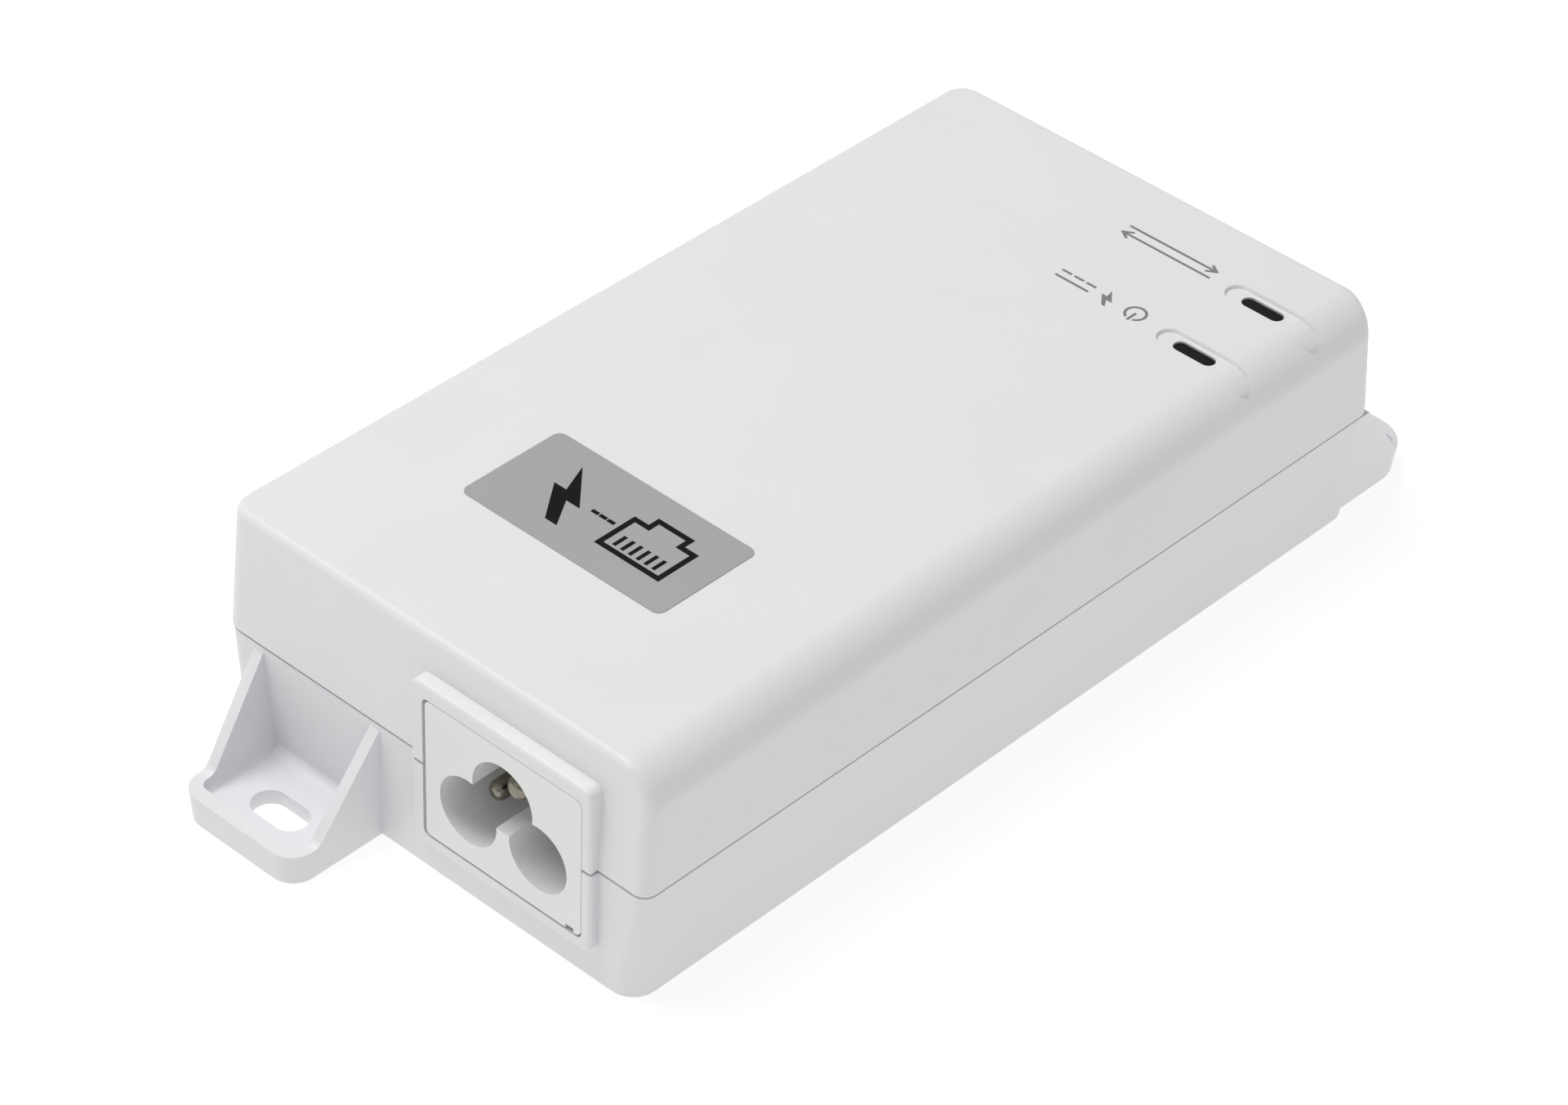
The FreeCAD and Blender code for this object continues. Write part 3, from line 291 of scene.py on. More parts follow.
def speckled(colour, fleck, size, rough, depth=0.01):
    def paint(place):
        dots = place.noise(size, 5, 0.7)
        return {"Base Color": dots.ramp((0.35, colour), (0.75, fleck)),
                "Roughness": rough + dots * 0.15, "Normal": dots.bump(depth)}
    return paint


def circuitPaint(place):
    # green mask over copper runs, with tinned dots
    runs = place.node("ShaderNodeTexBrick", {"offset": 0.3, "squash": 0.6},
                      {"Vector": place, "Scale": 160, "Color1": (1, 1, 1, 1), "Color2": (0.8, 0.8, 0.8, 1),
                       "Mortar": (0, 0, 0, 1), "Mortar Size": 0.06})
    tin = 1 - (place.cells(2.5) > 0.16)
    mask = runs.blend((0.004, 0.07, 0.03), (0.01, 0.15, 0.06))
    return {"Base Color": place.node("ShaderNodeMix", {"data_type": "RGBA"},
                                     {0: tin, 6: mask, 7: (0.6, 0.6, 0.58, 1)}, 2),
            "Metallic": tin, "Roughness": 0.3 + place.noise(0.5) * 0.15,
            "Normal": (runs * 1.0 + tin * 0.6).bump(0.03)}


def filmPaint(low, high, grain=0.12):  # matt printed film
    def paint(place):
        fine = place.noise(grain, 2)
        return {"Base Color": place.noise(30, 1).blend(low, high),
                "Roughness": 0.42 + fine * 0.1, "Normal": fine.bump(0.002, 0.5)}
    return paint


def lensPaint(place):
    swirl = place.noise(1.6, 1)
    return {"Base Color": swirl.blend((0.0015, 0.0016, 0.001), (0.005, 0.006, 0.003)),
            "Roughness": 0.16 + swirl * 0.08, "Normal": place.noise(0.5).bump(0.003, 0.4)}


looks = {
    "case": makeFinish("casePlastic", moulded((0.80, 0.80, 0.81), 0.22, 0.012, 0.44)),
    "case_low": makeFinish("casePlasticLower", moulded((0.79, 0.79, 0.81), 0.16, 0.006, 0.40)),
    "inlet": makeFinish("inletPlastic", moulded((0.82, 0.82, 0.815), 0.12, 0.003, 0.38)),
    "nickel": makeFinish("pinNickel", metal((0.25, 0.23, 0.185), 0.07, (1, 0.2, 1)), Metallic=1.0),
    "silver": makeFinish("labelSilver", filmPaint((0.352, 0.362, 0.372), (0.392, 0.40, 0.41))),
    "ink": makeFinish("blackInk", filmPaint((0.003, 0.003, 0.003), (0.006, 0.006, 0.006)),
                      Specular_IOR_Level=0.12),
    "grey_ink": makeFinish("greyInk", filmPaint((0.19, 0.19, 0.19), (0.23, 0.23, 0.23))),
    "paper": makeFinish("labelWhite", filmPaint((0.78, 0.78, 0.77), (0.82, 0.82, 0.81))),
    "lens": makeFinish("lensSmoked", lensPaint, Specular_IOR_Level=0.2),
    "jack": makeFinish("jackPlastic", moulded((0.018, 0.018, 0.02), 0.15, 0.004, 0.42)),
    "steel": makeFinish("shieldSteel", metal((0.62, 0.62, 0.63), 0.28, (1, 0.08, 1)), Metallic=1.0),
    "screw": makeFinish("screwSteel", metal((0.56, 0.57, 0.60), 0.25), Metallic=1.0),
    "gold": makeFinish("contactGold", metal((0.95, 0.68, 0.28), 0.2, (1, 0.1, 1)), Metallic=1.0),
}
print("finishes mixed:", len(looks))


# ---- upper shell

cover = {"halfWidth": 31.0, "halfLength": 58.0, "seam": 14.7, "top": 30.0, "sideDraft": 0.019,
         "endDraft": 0.075, "soft": 4.8, "crisp": 0.8, "wall": 2.0, "seamGap": 0.32, "foot": 0.08,
         "corners": (2.5, 2.6, 2.6, 1.6),  # right and left at the jack end, left and right at the inlet
         "rebate": (29.95, 56.95, 16.35), "rebateCorner": 1.6}
inletHole = {"x": 11.8, "width": 22.5, "height": 17.9, "corner": 0.8, "face": -59.0, "gap": 0.15}
frameRing = {"left": 1.9, "right": 1.35, "under": 1.55, "over": 1.9, "back": -57.0, "edge": 0.5,
             "corner": 1.2, "seamEdge": 0.14}
jackHole = {"centres": (-19.0, -1.6), "halfWidth": 8.15, "low": 4.85, "high": 18.75}
dish = {"x0": 17.4, "x1": 29.9, "width": 2.95, "rows": (35.3, 47.0),
        "steps": ((0.0, 0.38), (0.12, 0.2), (0.28, 0.07))}
lens = {"x": 22.3, "length": 5.4, "width": 1.67, "top": 29.43, "foot": 10.0, "play": 0.16,
        "edge": 0.3, "collarLow": 24.0, "collarHigh": 25.2, "collarWider": 1.8}
bosses = ((-25.6, -47.0), (25.6, -47.0), (25.6, 53.0), (-25.6, 30.0))
bossPost = {"radius": 3.3, "bore": 1.4, "middle": 22.6, "length": 12.0, "boreMiddle": 18.0,
            "boreLength": 10.0}


def cornerRing(left, right, half, height, corners, steps=8):
    # a rounded rectangle at one height, anticlockwise from the right corner at the jack end
    points = []
    for quarter, r in enumerate(corners):
        x = left + r if quarter in (1, 2) else right - r
        y = half - r if quarter in (0, 1) else r - half
        for step in range(steps + 1):
            turn = (quarter + step / steps) * math.pi / 2
            points.append(Vector((x + r * math.cos(turn), y + r * math.sin(turn), height)))
    return points


def loftUp(name, rings):
    # extrude a disc once for each ring, then lay every vertex on its ring
    count = len(rings[0])
    only(None)
    bpy.ops.mesh.primitive_circle_add(vertices=count, radius=mm, fill_type="NGON")
    form = named(name)
    only(form)
    bpy.ops.object.mode_set(mode="EDIT")
    bpy.ops.mesh.select_all(action="SELECT")
    for step in rings[1:]:
        bpy.ops.mesh.extrude_region_move(TRANSFORM_OT_translate={"value": (0, 0, mm)})
    bpy.ops.object.mode_set(mode="OBJECT")
    for vertex in form.data.vertices:
        turn = math.atan2(vertex.co.y, vertex.co.x) / (2 * math.pi) - 0.25
        vertex.co = Vector(rings[round(vertex.co.z / mm)][round(turn * count) % count]) * mm
    only(form)
    bpy.ops.object.mode_set(mode="EDIT")
    bpy.ops.mesh.select_all(action="SELECT")
    bpy.ops.mesh.normals_make_consistent(inside=False)
    bpy.ops.object.mode_set(mode="OBJECT")
    return form


def coverForm(name, inset, foot, seamEdge=0.0):
    # the outside of the upper shell, or the same form set in all round
    top = cover["top"] - inset
    soft, crisp = cover["soft"] - inset, max(0.3, cover["crisp"] - inset)
    heights = [foot + seamEdge * k for k in ((0, 0.3, 1) if seamEdge else (0,))] + [top - soft]
    heights += [top - soft + soft * math.sin(math.pi / 28 * i) for i in range(1, 15)]
    heights += [top - crisp + crisp * math.sin(math.pi / 8 * i) for i in range(4)]
    rings = []
    for z in sorted(set(round(h, 4) for h in heights)):
        rise = max(0.0, z - cover["seam"])
        x = cover["halfWidth"] - inset - cover["sideDraft"] * rise
        y = cover["halfLength"] - inset - cover["endDraft"] * rise
        tuck = crisp - math.sqrt(crisp ** 2 - max(0.0, z - top + crisp) ** 2)
        if seamEdge:
            low = min(1.0, (z - foot) / seamEdge)
            tuck += seamEdge * (1 - math.sqrt(1 - (1 - low) ** 2))
        share = max(0.0, (z - top + soft) / soft)
        give = soft * (1 - math.sqrt(max(0.0, 1 - share ** 2)))
        corners = [max(0.6, corner - inset) for corner in cover["corners"]]
        for side in (0, 3):  # these two lose themselves in the soft edge
            corners[side] += (min(corners[side], crisp * 1.6) - corners[side]) * share ** 1.3
        rings.append(cornerRing(tuck - x, x - max(give, tuck * (1 - share)), y - tuck, z,
                                [corner - tuck * 0.45 for corner in corners]))
    return loftUp(name, rings)


def inletCutter(name):
    half, tall = inletHole["width"] / 2 + inletHole["gap"], inletHole["height"] / 2 + inletHole["gap"]
    hole = addBox(name, (inletHole["x"] - half, -61.0, cover["seam"] - tall),
                  (inletHole["x"] + half, -54.0, cover["seam"] + tall))
    return boxEdges(hole, lambda p, d: inletHole["corner"] if abs(d.y) > 0.9 else 0, 5)


def jackCutters():
    return [addBox(f"jackHole{i}", (x - jackHole["halfWidth"], 55.0, jackHole["low"]),
                   (x + jackHole["halfWidth"], 60.0, jackHole["high"]))
            for i, x in enumerate(jackHole["centres"])]


def frameHalf(name, low, high):
    half, seam = inletHole["width"] / 2, cover["seam"]
    ring = addBox(name, (inletHole["x"] - half - frameRing["left"], inletHole["face"], low),
                  (inletHole["x"] + half + frameRing["right"], frameRing["back"], high))

    def edge(p, d):
        if p.y > inletHole["face"] + frameRing["edge"] and abs(d.y) < 0.5:
            return 0
        if abs(p.z - seam) < 0.5:
            return frameRing["seamEdge"]
        return frameRing["corner"] if abs(d.y) > 0.9 else frameRing["edge"]
    return boxEdges(ring, edge, 4)


def topCover():
    foot = cover["seam"] + cover["seamGap"]
    shell = coverForm("top_cover_shell", 0.0, foot, cover["foot"])
    frameTop = frameHalf("frameTop", foot,
                         cover["seam"] + inletHole["height"] / 2 + frameRing["over"])
    combine(shell, [frameTop], "UNION")
    combine(shell, [coverForm("coverRoom", cover["wall"], cover["seam"] - 1)])
    x, y, z = cover["rebate"]
    rebate = addBox("rebate", (-x, -y, 12.0), (x, y, z))
    boxEdges(rebate, lambda p, d: cover["rebateCorner"] if abs(d.z) > 0.9 else 0, 6)
    combine(shell, [rebate])
    for i, (x, y) in enumerate(bosses):
        boss = addRod(f"boss{i}", (x, y, bossPost["middle"]), bossPost["radius"], bossPost["length"])
        combine(boss, [addRod("bossBore", (x, y, bossPost["boreMiddle"]), bossPost["bore"],
                              bossPost["boreLength"], sides=32)])
        combine(shell, [boss], "UNION")
    combine(shell, [inletCutter("inletHoleTop")] + jackCutters())
    for i, y in enumerate(dish["rows"]):
        for spread, depth in dish["steps"]:  # the rim eases over in small steps
            hollow = slotPost(f"dish{i}", (dish["x0"] + dish["x1"]) / 2, y, 20.0, 31.0,
                              dish["x1"] - dish["x0"] + spread, dish["width"] + spread, 64)
            combine(hollow, [coverForm("dishFloor", depth, cover["seam"])])
            combine(shell, [hollow])
        slot = slotPost(f"lensHole{i}", lens["x"], y, 26.0, 31.0, lens["length"] + lens["play"],
                        lens["width"] + lens["play"])
        combine(shell, [slot])
    return finish(shell, looks["case"], "case_plastic", "top_cover")


# ---- ears for wall screws

ear = {"near": (-7.15, 12.5, 2.8), "far": (-11.7, 11.9, 5.0),  # side, length, outer corner
       "width": 17.0, "corner": 2.8, "lean": 0.145, "foot": 0.012, "root": 4.0, "edge": 0.18,
       "rim": 3.5, "rimSide": 1.4, "rimFront": 1.8, "run": 8.6, "ribTop": 14.0, "ribEase": 0.8,
       "floor": 1.9, "floorRound": 2.2, "floorEdge": 0.45, "pocketCorner": 1.0,
       "slotLength": 7.4, "slotWidth": 4.2, "slotReach": 6.3}


def earForm(name, side, length, corner):
    # a near-end ear with its straight side at x = side, leaning out to -x
    near, wallFace = -cover["halfLength"], -case["end"]
    out, front, tall = side - ear["width"], near - length, ear["ribTop"] + 0.6
    form = addBox(name, (out, front, ear["foot"]), (side, near + ear["root"], tall))
    leanSide(form, lambda p: p.x < out + 0.01 and p.z > tall - 0.01, (-ear["lean"] * tall, 0, 0))
    boxEdges(form, lambda p, d: (corner if p.x < out + 5 else ear["corner"])
             if abs(d.z) > 0.9 and p.y < front + 0.01 else 0, 8)
    above = addBox("earAbove", (out - 9, front - 2, ear["rim"]), (side + 4, near + 9, tall + 6))
    slope = Vector((0, ear["ribTop"] - ear["rim"], -ear["run"])).normalized()
    only(above)
    bpy.ops.object.mode_set(mode="EDIT")
    bpy.ops.mesh.select_all(action="SELECT")
    bpy.ops.mesh.bisect(plane_co=(0, (near - ear["run"]) * mm, ear["rim"] * mm),
                        plane_no=slope, use_fill=True, clear_outer=True)
    bpy.ops.object.mode_set(mode="OBJECT")
    boxEdges(above, lambda p, d: ear["ribEase"] if abs(d.x) > 0.9 and abs(p.z - ear["rim"]) < 0.01
             and p.y > front else 0, 5)
    combine(form, [above])
    pocket = addBox("earPocket", (out + ear["rimSide"], front + ear["rimFront"], ear["floor"]),
                    (side - ear["rimSide"], wallFace, tall + 2))
    leanSide(pocket, lambda p: p.x < out + 5, (-ear["lean"] * ear["floor"], 0, 0))
    leanSide(pocket, lambda p: p.x < out + 5 and p.z > tall, (-ear["lean"] * tall, 0, 0))

    def pocketEdge(p, d):
        if abs(d.z) > 0.9:
            return ear["pocketCorner"] if p.y < near - 1 else 0
        if p.z < ear["floor"] + 0.01:
            return ear["floorRound"] if p.y > near - 1 else ear["floorEdge"]
        return 0
    boxEdges(pocket, pocketEdge, 6)
    combine(form, [pocket])
    slotX, slotY = side - ear["width"] / 2, near - ear["slotReach"]
    combine(form, [slotPost("earSlot", slotX, slotY, -1, 5, ear["slotLength"], ear["slotWidth"], 48)])
    return softenSharp(form, ear["edge"], 40, 3)


# ---- lower shell

case = {"foot": 29.572, "top": 30.88, "end": 57.88, "edge": 0.12, "footCorner": 3.0, "floor": 2.0,
        "room": (27.75, 55.88), "roomTop": 29.0, "roomCorner": 1.8, "roomEdge": 0.5,
        "tongue": (29.8, 56.8, 16.2), "tongueCorner": 1.6,
        "boss": 3.8, "recess": 2.8, "seat": 8.0, "bore": 1.7, "post": 2.5, "postLength": 1.8}
labelSeat = {"x": 20.15, "y": 30.15, "depth": 0.3, "corner": 1.05}
posts = ((-23.5, -21.5), (24.0, -29.0), (-22.5, 20.0), (20.0, 30.0))


def bottomCase():
    seam = cover["seam"]
    rings, edge = [], case["edge"]
    for z in (0, edge * 0.3, edge, seam * 0.35, seam * 0.7, seam - edge, seam - edge * 0.3, seam):
        tuck = edge - math.sqrt(edge ** 2 - max(0, edge - z, z - seam + edge) ** 2)
        x = case["foot"] + (case["top"] - case["foot"]) * z / seam - tuck
        corners = [case["footCorner"] + (corner - case["footCorner"]) * z / seam
                   for corner in cover["corners"]]
        rings.append(cornerRing(-x, x, case["end"] - tuck, z, corners))
    shell = loftUp("bottom_case_shell", rings)
    frameLow = frameHalf("frameLow", seam - inletHole["height"] / 2 - frameRing["under"], seam)
    combine(shell, [frameLow, earForm("nearEar", *ear["near"])], "UNION")
    farEar = earForm("farEar", *ear["far"])
    only(farEar)
    bpy.ops.transform.rotate(value=math.pi, orient_axis="Z", center_override=(0, 0, 0))
    bpy.ops.object.transform_apply(location=True, rotation=True, scale=True)
    combine(shell, [farEar], "UNION")
    x, y = case["room"]
    room = addBox("caseRoom", (-x, -y, case["floor"]), (x, y, seam + 3))
    pushTop(room, seam + 3, case["roomTop"] / x, 1)
    boxEdges(room, lambda p, d: case["roomCorner"] if abs(d.z) > 0.9
             else case["roomEdge"] if p.z < case["floor"] + 0.01 else 0, 5)
    x, y, z = case["tongue"]
    tongue = addBox("tongue", (-x, -y, seam - 2), (x, y, z))
    boxEdges(tongue, lambda p, d: case["tongueCorner"] if abs(d.z) > 0.9 else 0, 6)
    combine(shell, [tongue], "UNION")
    combine(shell, [room])
    for i, (x, y) in enumerate(bosses):
        boss = addRod(f"lowBoss{i}", (x, y, (seam + 1) / 2), case["boss"], seam - 1)
        combine(boss, [addBox("bossTrim", (case["roomTop"] if x > 0 else -40, y - 6, 0),
                              (40 if x > 0 else -case["roomTop"], y + 6, 20))])
        combine(shell, [boss], "UNION")
        combine(shell, [addRod("recess", (x, y, case["seat"] - 4.5), case["recess"], 9.0),
                        addRod("bore", (x, y, case["seat"] + 4), case["bore"], 12.0, sides=32)])
    for i, (x, y) in enumerate(posts):
        post = addRod(f"post{i}", (x, y, case["floor"] + 0.5), case["post"], case["postLength"], sides=40)
        combine(shell, [post], "UNION")
    x, y = labelSeat["x"], labelSeat["y"]
    plate = addBox("plateRoom", (-x, -y, -1), (x, y, labelSeat["depth"]))
    boxEdges(plate, lambda p, d: labelSeat["corner"] if abs(d.z) > 0.9 else 0, 6)
    combine(shell, [plate, inletCutter("inletHoleLow")] + jackCutters())
    return finish(shell, looks["case_low"], "case_plastic", "bottom_case")


print("shells")
topCover()
bottomCase()


# ---- mains inlet

inlet = {"left": 0.8, "right": 23.1, "low": 5.86, "high": 23.7, "face": -59.0, "edge": 0.06,
         "lobes": ((7.0, 12.6, 4.1), (17.0, 12.6, 4.1), (11.95, 17.2, 4.3)), "cusp": 0.45,
         "depth": 12.5, "thick": 3.0, "flange": ((-0.45, -55.0, 4.75), (24.05, -53.5, 24.65)),
         "rear": ((2.8, -57.0, 7.0), (20.8, -44.4, 22.4)), "rearEdge": 0.7,
         "notch": ((20.9, -60.0, 5.0), (22.1, -50.0, 6.4))}
pinFoot, pinDome = -41.4, 0.82
pins = {"line_pin": (16.8, 12.6, 1.18, -55.3), "neutral_pin": (6.8, 12.6, 1.18, -55.3),
        "earth_pin": (11.8, 17.2, 1.45, -57.4)}


def inletHousing():
    face = inlet["face"]
    body = addBox("inlet_body", (inlet["left"], face, inlet["low"]),
                  (inlet["right"], face + inlet["thick"], inlet["high"]))
    boxEdges(body, lambda p, d: inletHole["corner"] if abs(d.y) > 0.9 else 0, 6)
    boxEdges(body, lambda p, d: inlet["edge"] if p.y < face + 0.01 else 0, 3)
    flange, rear = addBox("inletFlange", *inlet["flange"]), addBox("inletRear", *inlet["rear"])
    boxEdges(rear, lambda p, d: inlet["rearEdge"] if p.y > -45 or abs(d.y) > 0.9 else 0, 3)
    combine(body, [flange, rear], "UNION")
    (x, z, r), *others = inlet["lobes"]
    middle = face + inlet["depth"] / 2 - 1
    clover = addRod("clover", (x, middle, z), r, inlet["depth"] + 2, "y", 96)
    combine(clover, [addRod("lobe", (x, middle, z), r, inlet["depth"] + 2, "y", 96)
                     for x, z, r in others], "UNION")
    softenSharp(clover, inlet["cusp"], 32, 5)
    combine(body, [clover])
    combine(body, [addBox("plateNotch", *inlet["notch"])])
    return finish(body, looks["inlet"], "inlet_plastic", "inlet_housing")


def pin(name, x, z, radius, tip):
    rod = addRod(f"{name}_rod", (x, (tip + pinFoot) / 2, z), radius, pinFoot - tip, "y", 48)
    boxEdges(rod, lambda p, d: radius * pinDome if p.y < tip + 0.01 else 0, 8)
    return finish(rod, looks["nickel"], "pin_nickel", name, angle=40)


print("inlet")
inletHousing()
for pinName, pinPlace in pins.items():
    pin(pinName, *pinPlace)


# ---- indicators

def lightPipe(name, y):
    post = slotPost(f"{name}_lens", lens["x"], y, lens["foot"], lens["top"], lens["length"],
                    lens["width"])
    boxEdges(post, lambda p, d: lens["edge"] if p.z > lens["top"] - 0.01 else 0, 4)
    collar = slotPost("collar", lens["x"], y, lens["collarLow"], lens["collarHigh"],
                      lens["length"] + lens["collarWider"], lens["width"] + lens["collarWider"])
    combine(post, [collar], "UNION")
    return finish(post, looks["lens"], "lens_smoked", name)


print("indicators")
lightPipe("power_light_pipe", dish["rows"][0])
lightPipe("active_light_pipe", dish["rows"][1])


# ---- labels and printed signs; the signs read from the jack end

def roundedSheet(name, low, high, corner, edge):
    sheet = addBox(name, low, high)
    boxEdges(sheet, lambda p, d: corner if abs(d.z) > 0.9 else 0, 8)
    return boxEdges(sheet, lambda p, d: edge if p.z > high[2] - 0.001 else 0, 2)


def flatShape(name, points, low, high):
    # a printed patch with this outline, anticlockwise
    only(None)
    bpy.ops.mesh.primitive_circle_add(vertices=len(points), radius=mm, fill_type="NGON")
    patch = named(name)
    for vertex in patch.data.vertices:
        turn = math.atan2(vertex.co.y, vertex.co.x) / (2 * math.pi) - 0.25
        vertex.co = Vector((*points[round(turn * len(points)) % len(points)], low)) * mm
    only(patch)
    bpy.ops.object.mode_set(mode="EDIT")
    bpy.ops.mesh.select_all(action="SELECT")
    bpy.ops.mesh.extrude_region_move(TRANSFORM_OT_translate={"value": (0, 0, (high - low) * mm)})
    bpy.ops.object.mode_set(mode="OBJECT")
    return patch


def bar(name, ax, ay, bx, by, width, low, high):
    # a straight printed stroke between two points
    along = Vector((bx - ax, by - ay)).normalized() * width / 2
    side = Vector((-along.y, along.x))
    a, b = Vector((ax, ay)) - along, Vector((bx, by)) + along
    return flatShape(name, [tuple(c) for c in (a - side, b - side, b + side, a + side)], low, high)


def ring(name, x, y, radius, width, low, high, gap=None):
    band = addRod(name, (x, y, (low + high) / 2), radius + width / 2, high - low, sides=72)
    combine(band, [addRod("ringEye", (x, y, low), radius - width / 2, 1, sides=72)])
    if gap:
        combine(band, [addBox("ringGap", (x - gap, y - radius - 1, low - 1), (x + gap, y, high + 1))])
    return band


labelSheet = {"x0": -15.4, "x1": 13.4, "y0": -38.4, "y1": -23.8, "foot": 30.0, "top": 30.105,
              "corner": 1.05, "edge": 0.03, "sunk": 0.01, "ink": 0.012,
              "jackAt": (5.0, -31.0), "jackLine": 0.7, "boltAt": (-7.2, -31.0), "thin": 0.5}
sign = {"stroke": 0.34, "sunk": 0.01, "ink": 0.015, "deck": 30.0, "x": 13.4, "radius": 1.2, "end": 2.3,
        "shift": 0.65, "ringGap": 0.45, "boltReach": 4.1, "lineReach": 6.5, "lineHalf": 0.6,
        "arrowHalf": 0.72, "barb": (0.95, 0.62)}


def nameLabel():
    film = roundedSheet("name_label_film", (labelSheet["x0"], labelSheet["y0"], labelSheet["foot"]),
                        (labelSheet["x1"], labelSheet["y1"], labelSheet["top"]),
                        labelSheet["corner"], labelSheet["edge"])
    finish(film, looks["silver"], "label_silver", "name_label")
    base, ink = labelSheet["top"] - labelSheet["sunk"], labelSheet["top"] + labelSheet["ink"]
    (cx, cy), w, thin = labelSheet["jackAt"], labelSheet["jackLine"], labelSheet["thin"]
    # a jack seen from its front, its latch side towards the jack end
    outline = [(-4.6, -3.6), (4.6, -3.6), (4.6, 2.4), (2.6, 2.4), (2.6, 3.9), (-2.6, 3.9), (-2.6, 2.4),
               (-4.6, 2.4)]
    plug = flatShape("jackSign", [(cx + x, cy + y) for x, y in outline], base, ink)
    hole = [(x - math.copysign(w, x), y - math.copysign(w, y)) for x, y in outline]
    combine(plug, [flatShape("jackSignHole", [(cx + x, cy + y) for x, y in hole], base - 1, ink + 1)])
    places = [cx - 2.8 + i * 1.12 for i in range(6)]
    strips = [bar("strip", x, cy - 2.3, x, cy - 0.9, thin, base, ink) for x in places]
    bx, by = labelSheet["boltAt"]
    bolt = [(1.3, -4.4), (3.0, -4.4), (0.75, -0.75), (2.7, -0.75), (-2.1, 4.5), (-0.55, 0.55),
            (-2.3, 0.55)]
    flash = flatShape("bolt", [(bx + x, by + y) for x, y in bolt], base, ink)
    dashes = [bar("dash", x, cy, x + 0.5, cy, thin, base, ink) for x in (-3.2, -2.05, -0.9)]
    printed = joinAll("name_label_print", [plug, flash] + strips + dashes)
    finish(printed, looks["ink"], "label_silver")


def signs():
    low, high, w = sign["deck"] - sign["sunk"], sign["deck"] + sign["ink"], sign["stroke"]
    power, active = (y + sign["shift"] for y in dish["rows"])
    x, r, end, half = sign["x"], sign["radius"], sign["end"], sign["lineHalf"]
    bolt = [(0.35, -1.4), (-0.95, 0.25), (-0.2, 0.25), (-0.45, 1.4), (0.95, -0.35), (0.15, -0.35),
            (0.85, -1.4)]
    bolt = [(x - sign["boltReach"] + a, power + b) for a, b in bolt]
    start, stop = end + 0.2, x - sign["lineReach"]
    parts = [ring("powerRing", x, power, r, w, low, high, sign["ringGap"]),
             bar("powerBar", x, power - r - 0.15, x, power - 0.1, w, low, high),
             flatShape("smallBolt", bolt, low, high),
             bar("steadyLine", start, power - half, stop, power - half, w, low, high)]
    for place in (start, start + 1.75, start + 3.5):
        parts.append(bar("brokenLine", place, power + half, place + 1.05, power + half, w, low, high))
    reach, spread = sign["barb"]
    for y, tip, tail in ((active - sign["arrowHalf"], end, x + r), (active + sign["arrowHalf"], x + r, end)):
        back = math.copysign(reach, tail - tip)  # two arrows, there and back
        parts += [bar("arrow", tip, y, tail, y, w, low, high),
                  bar("barbLow", tip, y, tip + back, y - spread, w, low, high),
                  bar("barbHigh", tip, y, tip + back, y + spread, w, low, high)]
    combine(parts[0], parts[1:], "UNION")
    parts[0].name = parts[0].data.name = "indicator_signs"
    finish(parts[0], looks["grey_ink"], "label_silver")


ruled = {"x": 20.0, "y": 30.0, "low": 0.18, "high": 0.3, "corner": 1.05, "edge": 0.03,
         "inkLow": 0.165, "inkHigh": 0.19, "line": 0.25, "side": 17.5, "rows": (-26, -14, -2, 10, 26)}


def ratingLabel():
    film = roundedSheet("rating_label_film", (-ruled["x"], -ruled["y"], ruled["low"]),
                        (ruled["x"], ruled["y"], ruled["high"]), ruled["corner"], ruled["edge"])
    finish(film, looks["paper"], "label_white", "rating_label")
    stroke = (ruled["line"], ruled["inkLow"], ruled["inkHigh"])
    side, last = ruled["side"], ruled["rows"][-1] - 0.05
    rows = [bar("rule", 0.05 - side, y, side - 0.05, y, *stroke) for y in ruled["rows"]]
    rows += [bar("edge", x, -last, x, last, *stroke) for x in (-side, side)]
    combine(rows[0], rows[1:], "UNION")
    rows[0].name = rows[0].data.name = "rating_label_print"
    finish(rows[0], looks["grey_ink"], "label_white")


print("labels")
nameLabel()
signs()
ratingLabel()


# ---- network jacks

jack = {"face": 57.7, "low": 5.2, "high": 18.4, "halfWidth": 7.8, "depth": 20.6, "portHalf": 5.9,
        "portLow": 9.8, "portHigh": 16.7, "portDepth": 13.5, "keyHalf": 3.1, "keyLow": 8.3,
        "latchHalf": 1.7, "latchLow": 7.1, "mouth": 0.5, "sheet": 0.2, "pitch": 1.02}
tooth = {"half": 0.2, "low": 15.6, "high": 17.0, "length": 5.0}
spring = {"half": 0.16, "low": 15.35, "high": 15.65, "round": 0.06,
          "runs": ((3.0, -0.9), (3.4, -1.35), (1.1, -0.35), (0.55, 0.1), (0.5, 0.45))}  # out, up
finger = {"rows": (8.6, 14.2), "slot": (8.0, 2.4, 2.2), "reach": (7.7, 2.2), "low": 0.25, "high": 1.95}


